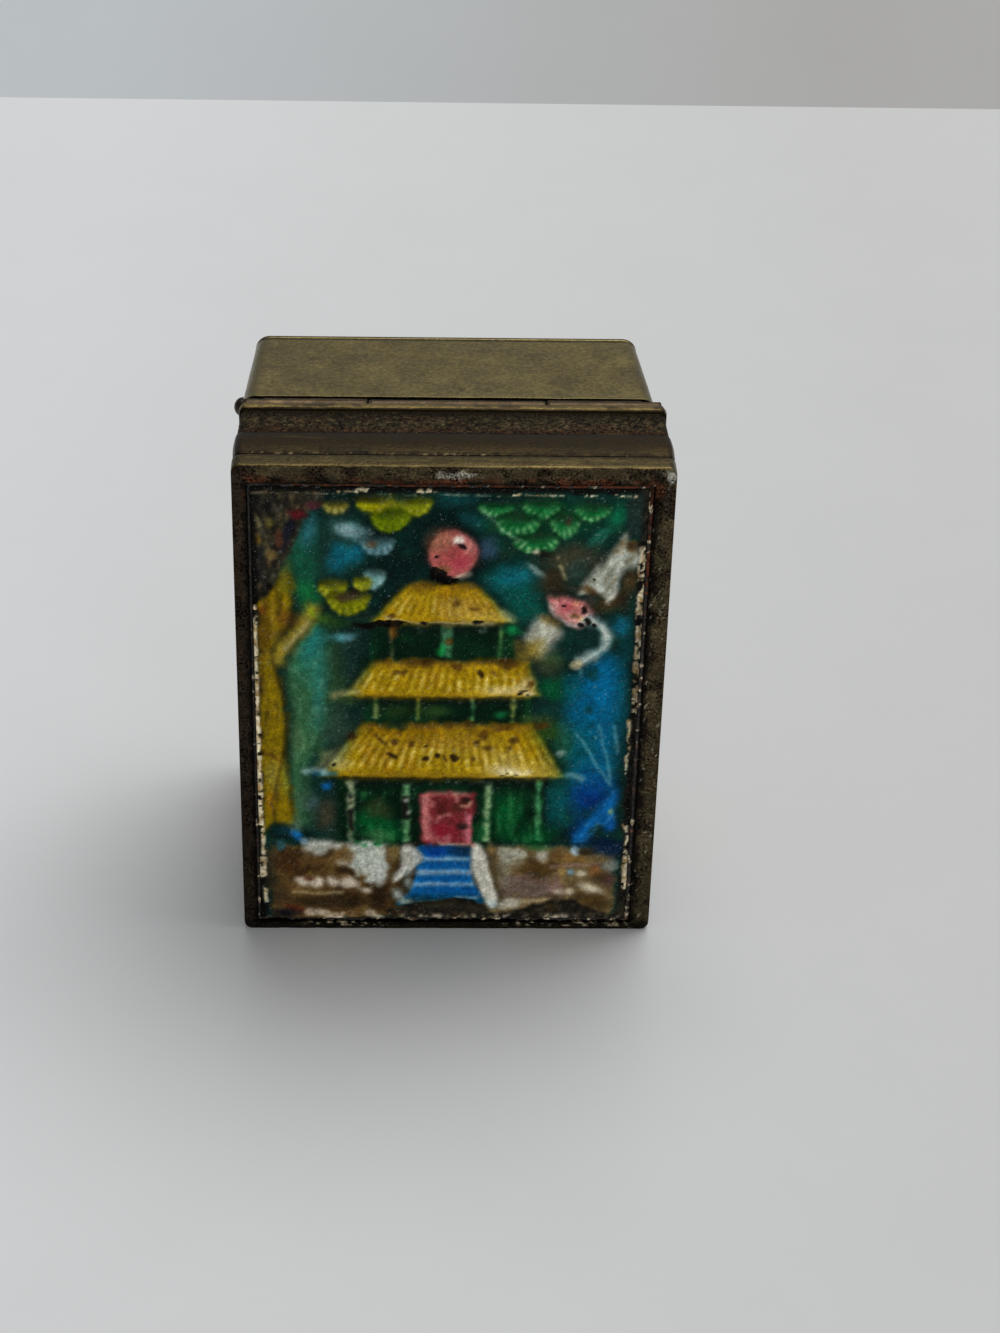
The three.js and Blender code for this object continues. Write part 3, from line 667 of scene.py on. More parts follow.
def right_bank(p):
    """Blue water and rocks along the right side, with fine pale scratches."""
    wash(p, (6, 66, 74), (15.4, 28.0), (0.9, 7.0))
    wash(p, (14, 104, 130), (14.8, 34.0), (0.9, 1.2), 0.9)
    sea = [(13.4, 31.6), (14.8, 30.0), (15.2, 26.0), (14.9, 19.0), (14.6, 16.0), (11.6, 16.0),
           (10.8, 20.0), (10.4, 24.6), (10.9, 27.8), (12.2, 29.8)]
    patch(p, AZURE, sea, 0.95, 1.2)
    wash(p, (2, 104, 152), (13.4, 27.4), (1.5, 3.6), 0.7)
    wash(p, (2, 84, 92), (11.6, 20.4), (1.6, 2.8), 0.8)
    wash(p, (6, 58, 58), (12.6, 28.8), (0.8, 0.7), 0.95)
    wash(p, (6, 60, 66), (12.3, 25.1), (0.5, 0.55), 0.9)
    wash(p, BLUE, (13.0, 15.4), (2.4, 2.6))
    wash(p, (0, 44, 108), (13.2, 15.2), (1.2, 1.0), 0.9)
    wash(p, BLUE, (12.2, 11.2), (1.2, 2.0))
    rock = [(15.1, 16.1), (15.4, 13.9), (15.2, 11.7), (13.9, 11.8), (12.6, 10.2), (11.4, 10.4),
            (12.7, 12.9), (14.1, 14.9)]
    patch(p, (6, 92, 156), rock, 0.9, 0.45, 0.3)
    wash(p, (4, 74, 140), (14.9, 12.2), (0.8, 0.9), 0.8)
    wash(p, NAVY, (14.8, 9.7), (1.9, 1.2), 0.95)
    dab(p, (10, 50, 50), (13.7, 11.7), (0.7, 0.4), 0.4)
    shine = cloud(p.x + p.z, 3.0 * (p.x - p.z), 1.0, 40)
    p.paint((70, 146, 190), 0.5 * inside(outline(p, rock), 0.3) * smooth(0.2, 0.5, shine))
    dab(p, (150, 168, 110), (14.9, 13.7), (0.2, 0.28))
    for line in (((11.3, 22.4), (12.3, 21.0), (13.6, 18.5), (14.7, 16.7)),
                 ((13.4, 23.5), (13.9, 21.0), (14.7, 17.3)), ((14.8, 23.4), (15.2, 20.5))):
        brush(p, (128, 184, 194), line, 0.16, 0.85)


def left_fold(p):
    """The sea-green fold of ground along the left side, with paler threads in its glass."""
    wash(p, (20, 84, 60), (-13.0, 40.0), (1.7, 4.4), 0.9)
    wash(p, (40, 98, 104), (-12.5, 43.6), (0.8, 2.2), 0.9)
    wash(p, (18, 116, 58), (-12.6, 37.0), (1.4, 1.6), 0.9)
    wash(p, (100, 98, 34), (-14.6, 38.4), (0.8, 2.2), 0.9)
    fold = [(-12.0, 35.2), (-10.9, 32.0), (-10.8, 25.0), (-11.7, 21.0), (-12.9, 17.6), (-12.8, 12.6),
            (-14.6, 12.6), (-14.8, 18.0), (-14.5, 24.0), (-14.9, 29.0), (-14.2, 32.0), (-13.0, 34.0)]
    patch(p, (50, 96, 60), fold, 0.95, 1.0, 0.3)
    wash(p, (16, 94, 84), (-12.2, 32.4), (1.2, 2.6), 0.9)
    wash(p, (40, 112, 100), (-11.6, 27.0), (1.0, 4.6), 0.8)
    wash(p, (34, 108, 90), (-12.6, 30.2), (1.3, 2.6), 0.7)
    threads = smooth(0.1, 0.5, cloud(p.x * 1.6, p.z * 0.8, 0.5, 46)) * inside(outline(p, fold), 0.6)
    p.paint((104, 150, 118), 0.4 * threads)
    wash(p, (86, 116, 76), (-13.8, 21.6), (0.9, 2.4), 0.6)
    wash(p, (56, 90, 66), (-13.6, 14.4), (1.0, 2.4), 0.8)


def trunk(p):
    """The tree's amber bark with its furrows, darker under the broken corner."""
    bark = [(-18.0, 37.4), (-15.6, 38.4), (-14.4, 38.9), (-14.0, 36.6), (-14.1, 34.4), (-15.1, 32.4),
            (-15.6, 30.4), (-15.0, 27.0), (-14.6, 23.6), (-14.8, 20.0), (-14.4, 16.0), (-14.2, 12.4),
            (-16.0, 12.2), (-18.0, 12.8)]
    patch(p, (130, 106, 4), bark, 0.97, 0.4, 0.4)
    furrow = cloud(p.x * 2.2, p.z * 0.4, 0.9, 37)
    p.paint((62, 48, 8), 0.6 * inside(outline(p, bark), 0.3) * smooth(0.1, 0.5, furrow))
    wash(p, (84, 62, 6), (-16.6, 33.4), (0.8, 3.6), 0.85)
    wash(p, (96, 74, 18), (-16.7, 27.6), (0.4, 1.4), 0.7)
    wash(p, (112, 52, 22), (-16.7, 35.5), (0.4, 0.6), 0.6)
    wash(p, (104, 98, 14), (-14.6, 38.0), (0.9, 1.4), 0.9)
    wash(p, (150, 122, 30), (-15.7, 35.0), (0.3, 1.6), 0.7)
    wash(p, (150, 136, 56), (-15.9, 17.6), (0.7, 2.0), 0.7)
    wash(p, (134, 138, 44), (-14.8, 17.4), (0.4, 2.2), 0.8)
    wash(p, (172, 118, 8), (-16.2, 14.8), (0.5, 1.2), 0.8)
    edge = ((-15.9, 30.6), (-15.4, 28.5), (-14.9, 26.0), (-14.7, 23.0), (-15.0, 20.5), (-15.4, 18.0),
            (-16.2, 14.2))
    brush(p, (58, 48, 18), edge, 0.2, 0.8, 0.12)
    brush(p, (92, 60, 12), ((-16.8, 20.3), (-15.9, 19.8), (-15.2, 19.2)), 0.3, 0.8)
    wash(p, (110, 74, 20), (-14.4, 34.5), (1.2, 0.8), 0.95)


def pale_limb(p):
    """The limb that reaches up from the trunk."""
    limb = ((-15.4, 30.4), (-14.8, 31.8), (-13.9, 33.0), (-13.0, 34.3), (-12.2, 35.6))
    p.lift(0.3 * smooth(0.4, -0.6, stroke(p, limb, 1.2)))
    brush(p, (150, 130, 26), ((-15.4, 32.8), (-15.2, 31.0)), 0.9, 0.9, 0.3)
    brush(p, (138, 118, 34), limb, 1.7, 0.85, 0.6)
    brush(p, (70, 50, 16), ((-16.0, 32.6), (-15.2, 33.2), (-14.3, 34.2)), 0.6, 0.6, 0.4)
    brush(p, (168, 156, 104), ((-14.6, 31.4), (-13.6, 32.8), (-12.7, 34.2)), 0.45, 0.75, 0.3)
    dab(p, (132, 148, 22), (-12.3, 35.4), (0.35, 0.5))


def corner_loss(p):
    """The upper left corner, where the enamel is gone down to stained metal."""
    bare_edge = [(-18.4, 48.6), (-11.4, 48.2), (-11.7, 46.2), (-13.0, 44.6), (-13.7, 42.2), (-14.8, 40.2),
                 (-15.3, 38.4), (-16.2, 37.2), (-18.4, 36.6)]
    bare = inside(outline(p, bare_edge) + 0.3 * p.rag, 0.22)
    p.height = mix(p.height, 0.06 * p.crumb - 0.04, bare)
    p.rough = mix(p.rough, 0.65, bare)
    p.paint((40, 38, 28), bare)
    p.paint((92, 90, 74), 0.7 * bare * smooth(0.1, 0.6, p.crumb))
    p.paint((30, 24, 20), 0.7 * bare * smooth(0.1, 0.5, p.rag))
    streak = cloud(p.x * 2.4, p.z * 0.7, 0.7, 29)
    p.paint((118, 100, 64), 0.6 * bare * smooth(0.2, 0.6, streak))
    p.paint((14, 12, 12), 0.8 * bare * smooth(0.15, 0.5, -streak))
    dab(p, (84, 20, 24), (-13.6, 45.3), (0.75, 0.55), 0.2)
    dab(p, (78, 38, 44), (-12.1, 46.1), (0.7, 0.45))
    brush(p, (20, 22, 34), ((-13.9, 44.4), (-14.4, 43.2), (-14.8, 41.8)), 0.7, 0.9, 0.2)
    dab(p, (84, 48, 32), (-15.0, 42.6), (0.35, 0.8))
    dab(p, (184, 188, 172), (-17.4, 46.5), (0.25, 0.5), 0.2)
    brush(p, (134, 126, 84), ((-17.4, 45.7), (-16.7, 44.2)), 0.5, 0.8)
    dab(p, (96, 86, 38), (-16.0, 44.4), (0.4, 0.5))
    dab(p, (138, 106, 34), (-17.0, 42.8), (0.3, 0.6))
    brush(p, (160, 136, 92), ((-17.5, 42.2), (-17.5, 40.2)), 0.35, 0.8)
    dab(p, (122, 98, 52), (-15.8, 41.3), (0.5, 0.6), 0.4, 0.75)
    brush(p, (140, 112, 66), ((-15.9, 40.9), (-15.9, 39.9)), 0.25, 0.7)
    brush(p, (18, 20, 28), ((-16.6, 41.9), (-16.8, 38.4)), 0.4, 0.7, 0.25)


def fan(p, at, half, drop, colour, rim, ribs=9, rise=0.42):
    """A shell of needles or cloud: fading out above under painted shade, ribbed, with a painted highlight
    along its round lower edge.
    """
    dx, dz = (p.x - at[0]) / half, (p.z - at[1]) / drop
    reach = np.hypot(dx, np.where(dz < 0.0, dz, 2.2 * dz)) + 0.1 * p.rag + 0.08 * p.crumb
    ridge = 0.5 + 0.5 * np.cos(2.0 * ribs * np.arctan2(dx, 0.5 - np.minimum(dz, 0.3)))
    shell = inside((reach - 1.0) * min(half, drop), 0.2) * smooth(0.5, 0.0, dz)
    dome = np.sqrt(np.clip(1.0 - reach**2, 0.0, 1.0))
    p.lift(rise * dome * (0.8 + 0.2 * ridge) * smooth(0.55, -0.4, dz))
    p.paint(colour, shell)
    # painted shade over the upper part
    p.paint(np.array(colour) * 0.4, 0.8 * shell * smooth(-0.45, 0.35, dz))
    # painted highlight in the rim colour along the lower edge, strongest on the ribs and broken by chips
    lip = shell * smooth(0.3, 0.9, reach + 0.15 * p.crumb) * smooth(0.15, -0.3, dz)
    p.paint(rim, lip * (0.1 + 0.9 * ridge**2) * (0.55 + 0.45 * smooth(-0.4, 0.3, p.crumb)))


def clouds(p):
    """Yellow and blue cloud fans of the upper left."""
    wash(p, (116, 156, 160), (-8.9, 43.6), (1.9, 0.8), 0.95, -0.3)
    wash(p, (150, 178, 178), (-9.4, 43.7), (0.9, 0.5), 0.6, -0.2)
    wash(p, (8, 98, 116), (-9.3, 41.1), (1.5, 1.6), 0.95)
    wash(p, (10, 104, 134), (-8.3, 42.0), (0.7, 0.7), 0.7)
    # each fan's second colour is the painted highlight along its lower edge; fans are darkened above as
    # painted shade
    fan(p, (-6.5, 42.6), 1.5, 1.5, (64, 104, 108), (142, 174, 182), 9)
    dab(p, (84, 66, 44), (-7.0, 42.3), (0.5, 0.35))
    needles = [(-8.0, 46.6), (-6.6, 47.0), (-4.6, 46.9), (-2.2, 46.9), (-2.4, 45.7), (-4.0, 44.6),
               (-5.3, 43.6), (-6.5, 44.4)]
    patch(p, (104, 110, 3), needles, 0.95, 0.5, 0.3)
    wash(p, (134, 124, 6), (-6.3, 46.2), (1.2, 0.7), 0.8)
    fan(p, (-5.5, 45.4), 1.8, 2.0, LEAF_LIME, (126, 138, 6), 11, 0.45)
    fan(p, (-7.1, 46.6), 1.3, 1.2, (128, 126, 0), (164, 160, 30), 8)
    fan(p, (-3.1, 46.5), 1.3, 1.4, LEAF_YELLOW, (158, 160, 44), 8)
    fan(p, (-10.1, 46.3), 1.15, 1.1, (98, 92, 26), (200, 192, 128), 7)
    fan(p, (-6.8, 39.3), 0.95, 1.6, (96, 140, 136), (178, 200, 196), 7)
    fan(p, (-7.9, 38.6), 0.85, 1.2, (126, 130, 14), (184, 182, 70), 6)
    fan(p, (-10.4, 38.2), 1.35, 1.6, (104, 108, 2), (180, 176, 60), 8)
    fan(p, (-9.1, 36.9), 1.9, 1.95, (104, 110, 2), (168, 166, 30), 11, 0.46)
    dab(p, (70, 54, 30), (-9.3, 36.9), (0.9, 0.4), 0.1)
    dab(p, (36, 26, 14), (-8.5, 37.4), (0.5, 0.35))


def pines(p):
    """Green needle fans of the upper right, with painted highlights along their chipped lower edges."""
    for at, size in (((5.4, 45.2), (3.2, 1.6)), ((9.8, 45.2), (3.0, 1.5)), ((7.2, 43.2), (1.9, 1.2))):
        wash(p, (10, 84, 42), at, size, 0.85)
    for at, half, drop in (((3.6, 46.2), 1.5, 1.1), ((7.4, 46.4), 1.7, 1.6), ((11.8, 46.1), 1.6, 1.5),
                           ((5.5, 44.9), 1.9, 2.0), ((9.6, 44.9), 1.35, 2.0), ((7.2, 43.0), 2.0, 1.7)):
        # each fan has painted shade above and a painted highlight along its lower edge
        fan(p, at, half, drop, PINE, PINE_HIGHLIGHT, 11)
    brush(p, (150, 178, 150), ((2.5, 45.7), (3.6, 44.6), (4.6, 43.4), (5.6, 42.9)), 0.2, 0.6)
    dab(p, (60, 42, 26), (9.9, 44.6), (0.3, 0.5))
    dab(p, (20, 16, 12), (7.7, 41.4), (0.75, 0.28))
    dab(p, (190, 186, 158), (7.1, 41.6), (0.25, 0.3))


def barbs(p):
    """Fine slanting lines of feathers, from 0 to 1."""
    return 0.5 + 0.5 * np.sin((p.x * 0.86 - p.z * 0.5) * 10.0 + 1.5 * p.rag)


def raised_wing(p):
    """The crane's raised wing, torn at its edges, on stained brown ground."""
    wash(p, (74, 53, 27), (14.0, 36.7), (2.4, 1.1), 0.9, 0.8)
    wash(p, (80, 58, 30), (15.5, 38.9), (0.8, 1.3), 0.9)
    wing = [(10.9, 37.3), (12.4, 40.2), (13.0, 40.6), (14.9, 43.6), (15.2, 42.3), (16.4, 41.9),
            (16.3, 40.2), (15.2, 39.9), (14.6, 38.8), (13.9, 36.6), (12.5, 37.4)]
    patch(p, (158, 164, 150), wing, 0.95, 0.35, 0.4)
    feathers = inside(outline(p, wing), 0.15)
    p.paint((126, 126, 110), 0.55 * feathers * barbs(p))
    p.paint((196, 200, 190), 0.6 * feathers * smooth(0.0, 0.5, p.rag))
    torn = cloud(0.5 * p.x + 0.86 * p.z, 4.5 * (0.86 * p.x - 0.5 * p.z), 1.8, 35)
    p.paint((112, 98, 70), 0.6 * feathers * smooth(0.15, 0.5, torn))
    p.paint((206, 206, 194), 0.6 * feathers * smooth(0.1, 0.5, -torn))
    dab(p, (96, 72, 40), (12.2, 37.5), (0.8, 0.4), -0.6)
    dab(p, (98, 72, 36), (15.5, 42.3), (0.5, 0.55))
    dab(p, (98, 72, 36), (14.6, 42.6), (0.22, 0.22))
    brush(p, (204, 202, 188), ((13.5, 36.5), (14.0, 37.3)), 0.3)


def trailing_wing(p):
    """The crane's trailing wing, stained gold and brown."""
    trail = [(7.6, 35.0), (8.9, 34.4), (9.7, 33.4), (9.1, 32.2), (8.1, 30.8), (6.7, 31.0), (6.3, 32.4),
             (6.8, 33.8)]
    patch(p, (190, 192, 178), trail, 0.95, 0.65, 0.42)
    p.paint((134, 128, 100), 0.5 * inside(outline(p, trail), 0.2) * barbs(p))
    wash(p, (150, 122, 60), (8.6, 34.6), (1.3, 0.5), 0.8, -0.6)
    wash(p, (132, 112, 40), (6.5, 31.4), (1.9, 1.2), 0.95, 0.5)
    wash(p, (104, 84, 44), (5.3, 32.0), (0.8, 0.9), 0.9)


def crane_body(p):
    """The crane's pink body, mottled and rimmed with white."""
    body = [(8.2, 37.2), (10.2, 37.1), (11.6, 36.6), (12.4, 35.4), (12.0, 34.2), (10.8, 33.8),
            (9.4, 34.7), (8.4, 36.0)]
    patch(p, (186, 114, 108), body, 0.97, 0.28, 0.55)
    p.paint((214, 172, 160), 0.6 * inside(outline(p, body), 0.2) * smooth(0.1, 0.5, p.noise(0.8, 36)))
    mottle = p.noise(0.35, 47) * inside(outline(p, body), 0.2)
    p.paint((234, 166, 164), 0.5 * smooth(0.15, 0.5, mottle))
    p.paint((148, 62, 64), 0.45 * smooth(0.15, 0.5, -mottle))
    brush(p, (206, 190, 184), ((8.4, 36.2), (9.2, 34.9), (10.4, 34.0), (11.3, 33.9)), 0.3, 0.8)
    dab(p, (210, 160, 110), (10.6, 36.3), (0.35, 0.3))
    dab(p, (206, 172, 110), (11.4, 34.7), (0.35, 0.3))
    wash(p, (176, 70, 82), (9.9, 35.9), (0.9, 0.8), 0.7)


def crane_neck(p):
    """The crane's curved neck with its head, painted highlights down the neck, a pale streak and a dotted
    twig.
    """
    neck = ((12.0, 34.6), (13.0, 34.0), (13.6, 33.0), (13.5, 31.9), (12.7, 31.1), (11.4, 30.2))
    p.lift(0.36 * smooth(0.3, -0.5, stroke(p, neck, 0.9)))
    brush(p, (112, 146, 150), neck, 1.2, 0.8, 0.45)
    # painted highlights down the middle of the neck
    brush(p, (196, 200, 188), neck[:3], 0.6, 0.8, 0.3)
    brush(p, (172, 180, 168), neck[2:], 0.8, 0.65, 0.4)
    brush(p, (120, 160, 156), ((11.5, 30.1), (11.6, 28.6)), 0.22, 0.7)
    dab(p, (178, 168, 130), (11.0, 29.9), (0.6, 0.55))
    wash(p, (156, 176, 170), (7.2, 39.7), (1.1, 0.3), 0.65, -0.75)
    twig = inside(stroke(p, ((9.0, 41.3), (9.4, 40.0), (9.9, 38.9)), 0.22), 0.12)
    p.paint((196, 178, 130), 0.85 * twig * smooth(-0.1, 0.2, p.crumb))


def stone(p, colour, at, size, turn=0.0, strength=0.85):
    """A softly edged stone or patch of plaster in the terrace walls."""
    edge = oval(p, at, size, turn, min(1.0, 0.5 * min(size)))
    edge = edge + min(size) * (0.35 * p.rag + 0.15 * p.crumb)
    p.lift((0.2 + 0.05 * p.crumb) * smooth(0.25, -0.35, edge))
    p.paint(colour, strength * inside(edge, 0.3))


def left_wall(p):
    """The mottled brown wall left of the stairs."""
    wall = panel(p, -16.4, -2.8, 1.2, 9.7) + 0.5 * p.drift + 0.2 * p.rag
    p.lift((0.14 + 0.05 * p.rag) * smooth(0.4, -0.4, wall))
    p.paint((98, 72, 36), 0.97 * inside(wall + 0.3 * p.rag, 0.35))
    p.paint((70, 48, 26), 0.7 * inside(wall, 0.3) * smooth(0.0, 0.6, p.drift))
    p.paint((46, 30, 10), 0.75 * inside(wall, 0.3) * smooth(0.05, 0.5, p.noise(1.1, 42)))
    p.paint((134, 106, 60), 0.5 * inside(wall, 0.3) * smooth(0.15, 0.5, p.noise(0.8, 43)))
    wash(p, (58, 36, 14), (-14.4, 7.7), (1.6, 1.5), 0.9)
    wash(p, (44, 34, 20), (-11.0, 3.1), (4.6, 0.9), 0.85)
    wash(p, (40, 26, 14), (-6.2, 3.8), (1.7, 1.7), 0.95)
    wash(p, (46, 40, 26), (-16.4, 6.5), (0.9, 3.6), 0.9)


def left_stones(p):
    """White coping, pale stones and blue flakes on the left wall."""
    brush(p, (172, 174, 160), ((-13.1, 9.9), (-9.6, 9.9), (-5.8, 10.0)), 0.75, 0.85, 0.3)
    stone(p, (168, 170, 158), (-12.0, 9.5), (1.3, 0.9), 0.0, 0.95)
    stone(p, (170, 166, 150), (-10.1, 9.5), (0.5, 0.5), 0.6)
    stone(p, (184, 190, 178), (-7.0, 8.2), (1.8, 2.3), 0.1, 0.97)
    stone(p, WHITE, (-6.4, 6.2), (0.8, 1.2), 0.3, 0.95)
    brush(p, (136, 144, 136), ((-8.0, 7.5), (-5.9, 7.6)), 0.14, 0.6)
    for at in ((-7.7, 9.7), (-8.4, 10.1), (-6.6, 9.9)):
        dab(p, (30, 128, 66), at, (0.3, 0.25))
    stone(p, (110, 84, 46), (-9.6, 8.4), (0.9, 0.9))
    stone(p, (172, 162, 142), (-9.5, 7.7), (0.6, 0.4))
    dab(p, (56, 38, 22), (-9.6, 6.8), (0.7, 0.3))
    stone(p, (116, 98, 58), (-4.9, 8.8), (0.7, 1.3))
    for at, size in (((-13.6, 5.6), (0.5, 0.45)), ((-12.2, 5.5), (0.55, 0.5)),
                     ((-10.7, 5.6), (0.5, 0.45)), ((-9.0, 5.4), (0.85, 0.5)), ((-7.6, 4.5), (0.5, 0.35))):
        stone(p, (206, 192, 172), at, (1.3 * size[0], 1.2 * size[1]), -0.25, 0.95)
    dab(p, (104, 62, 44), (-12.9, 5.9), (0.4, 0.25))
    brush(p, (176, 156, 112), ((-14.4, 4.3), (-12.2, 4.15), (-9.8, 4.3)), 0.28, 0.75)
    dab(p, (100, 46, 24), (-14.2, 2.3), (1.0, 0.4), -0.4)
    wash(p, (12, 14, 22), (-15.0, 1.7), (1.5, 0.7), 0.95)
    wash(p, (46, 34, 22), (-15.4, 4.0), (0.9, 0.8), 0.75)
    dab(p, (18, 104, 172), (-14.0, 10.9), (0.45, 0.5))
    wash(p, (16, 54, 66), (-15.0, 11.4), (1.2, 0.8), 0.85)
    dab(p, (20, 100, 166), (-14.0, 10.9), (0.45, 0.55))
    dab(p, (136, 176, 196), (-13.3, 10.2), (0.4, 0.35))
    dab(p, (50, 96, 104), (-15.5, 9.7), (0.4, 0.5))


def right_wall(p):
    """The mauve, brown and white wall right of the stairs."""
    wall = panel(p, 2.4, 15.6, 1.4, 9.7) + 0.4 * p.drift + 0.2 * p.rag
    p.lift((0.14 + 0.05 * p.rag) * smooth(0.4, -0.4, wall))
    p.paint((112, 92, 58), 0.97 * inside(wall + 0.3 * p.rag, 0.35))
    stone(p, (166, 164, 146), (5.7, 8.3), (1.4, 1.4), 0.0, 0.95)
    stone(p, (176, 174, 160), (8.7, 8.4), (0.5, 0.8))
    stone(p, (110, 90, 54), (3.9, 9.2), (0.6, 1.0))
    stone(p, (78, 56, 26), (7.9, 6.9), (1.9, 0.9), 0.0, 0.95)
    stone(p, (96, 68, 36), (10.0, 8.4), (0.4, 1.0))
    stone(p, (110, 92, 82), (7.4, 5.0), (2.7, 1.4), 0.0, 0.95)
    stone(p, (134, 104, 98), (10.1, 5.0), (0.7, 1.4))
    brush(p, (104, 70, 60), ((5.8, 6.3), (8.0, 5.8), (9.6, 5.4)), 0.25, 0.6)
    stone(p, (192, 186, 166), (5.9, 3.0), (1.3, 0.6), 0.1, 0.95)
    brush(p, (180, 162, 122), ((6.8, 3.3), (8.4, 3.3), (9.6, 3.8)), 0.35, 0.8)


def right_stones(p):
    """Stones, blue flakes and brown stains at the right end of the wall."""
    stone(p, (128, 96, 46), (11.6, 8.2), (1.6, 0.5))
    brush(p, (140, 108, 98), ((9.6, 7.4), (11.8, 7.5), (13.9, 7.6)), 0.35, 0.75)
    stone(p, (154, 126, 72), (10.6, 6.5), (0.35, 0.9))
    dab(p, (120, 158, 176), (11.4, 6.7), (0.3, 0.4))
    dab(p, (156, 184, 200), (11.8, 9.2), (0.45, 0.5))
    dab(p, (44, 36, 22), (13.0, 9.2), (0.9, 0.45))
    stone(p, (136, 88, 46), (13.7, 6.8), (0.6, 0.7))
    stone(p, (120, 124, 116), (15.0, 7.5), (0.8, 0.7))
    wash(p, (70, 44, 46), (15.0, 5.8), (0.7, 1.0), 0.9)
    for at, size in (((12.4, 6.5), (0.5, 0.4)), ((13.4, 4.8), (1.1, 0.5)), ((11.4, 4.4), (0.55, 0.4)),
                     ((10.2, 4.4), (0.4, 0.4))):
        stone(p, (204, 192, 164), at, size, -0.5, 0.95)
    stone(p, (84, 60, 24), (13.4, 3.4), (1.2, 0.5))
    wash(p, (146, 142, 120), (5.1, 6.6), (0.8, 2.2), 0.6)
    wash(p, (144, 136, 108), (6.4, 7.6), (0.9, 0.8), 0.6)
    for at, size in (((13.8, 2.7), (1.7, 0.9)), ((14.2, 6.1), (0.8, 0.7)), ((12.3, 3.9), (0.9, 0.6)),
                     ((8.2, 6.2), (1.0, 0.5)), ((9.8, 3.9), (0.8, 0.4))):
        wash(p, (54, 40, 20), at, size, 0.7)
    wash(p, (62, 112, 58), (8.5, 9.4), (1.3, 0.4), 0.6)
    wash(p, (6, 34, 54), (14.3, 9.3), (1.1, 0.7), 0.9)
    wash(p, NAVY, (14.9, 9.6), (1.7, 1.3), 0.97)


def stairs(p):
    """Blue steps with pale edges."""
    flight = [(-2.9, 9.7), (2.1, 9.6), (2.4, 6.0), (3.5, 3.0), (0.4, 3.2), (-4.6, 2.6), (-3.6, 4.4),
              (-3.0, 6.4)]
    shape = outline(p, flight)
    tread = ((9.7 - p.z) / 1.45) % 1.0
    p.lift((0.16 + 0.04 * (9.7 - p.z) + 0.08 * tread) * smooth(0.2, -0.2, shape))
    p.paint((6, 90, 156), inside(shape, 0.2))
    step = inside(shape, 0.15)
    p.paint((4, 66, 128), 0.6 * step * smooth(0.0, 0.5, p.rag))
    p.paint((4, 60, 150), 0.8 * step * inside(oval(p, (-1.2, 9.1), (1.2, 0.6)), 0.4))
    p.paint((8, 42, 70), 0.85 * step * inside(oval(p, (1.2, 9.1), (1.1, 0.7)), 0.4))
    p.paint((6, 52, 66), 0.8 * step * smooth(4.6, 3.4, p.z))
    edges = ((8.2, -2.6, 1.9, 0.42), (6.7, -2.6, 2.1, 0.6), (5.25, -3.0, 2.4, 0.42),
             (3.7, 0.8, 2.8, 0.22))
    for level, left, right, width in edges:
        brush(p, (154, 184, 206), ((left, level), (right, level)), width, 0.85, 0.25)


def balustrades(p):
    """The two white balustrades."""
    rail_left = [(-4.4, 9.5), (-3.4, 9.8), (-2.45, 8.6), (-2.75, 7.4), (-3.8, 6.2), (-5.0, 5.2),
                 (-5.2, 6.0), (-4.5, 7.4)]
    patch(p, (182, 182, 172), rail_left, 0.95, 0.2, 0.46)
    stone(p, (158, 172, 168), (-3.7, 5.5), (0.4, 0.7))
    stone(p, (160, 176, 174), (-4.5, 3.9), (0.5, 0.8), 0.3, 0.8)
    stone(p, (150, 152, 132), (-3.9, 3.2), (0.5, 0.3))
    brush(p, (42, 62, 62), ((-3.8, 6.9), (-4.2, 5.4), (-3.6, 4.2)), 0.12, 0.8)
    rail_right = [(2.1, 9.9), (3.0, 9.9), (3.7, 8.0), (4.4, 5.4), (4.8, 3.2), (4.2, 2.2), (3.5, 2.9),
                  (2.6, 5.4), (2.1, 7.6)]
    patch(p, (196, 194, 180), rail_right, 0.97, 0.16, 0.5)
    wash(p, (160, 182, 186), (4.2, 2.9), (0.6, 0.7), 0.7)


def foot(p):
    """The chipped lower edge: black metal, grey pitch and single pale crumbs."""
    chipped = [(-18.0, 0.0), (-18.0, 1.0), (-13.0, 0.9), (-5.8, 1.0), (-5.6, 2.2), (-4.4, 2.6),
               (0.5, 3.5), (3.2, 2.8), (4.4, 1.9), (6.4, 2.2), (8.6, 3.0), (11.6, 3.5), (13.0, 2.6),
               (15.6, 2.0), (16.0, 5.0), (16.6, 6.0), (18.0, 0.0)]
    bare = inside(outline(p, chipped) + 0.25 * p.rag, 0.25)
    p.height = mix(p.height, 0.1 * p.crumb, bare)
    p.rough = mix(p.rough, 0.7, bare)
    p.paint((31, 28, 22), bare)
    p.paint((78, 72, 58), 0.65 * bare * smooth(0.1, 0.6, p.crumb))
    wash(p, (66, 60, 42), (-1.2, 2.8), (2.6, 0.6), 0.8)
    wash(p, (60, 54, 42), (2.6, 2.3), (1.2, 0.6), 0.8)
    p.paint((186, 170, 140), 0.85 * bare * smooth(0.26, 0.46, p.noise(0.55, 38)) * smooth(2.1, 1.2, p.z))
    p.paint((206, 192, 164), 0.85 * bare * smooth(0.38, 0.52, p.noise(0.34, 41)) * smooth(2.2, 1.3, p.z))
    p.paint((64, 48, 24), 0.6 * bare * smooth(0.1, 0.5, p.noise(1.2, 44)))


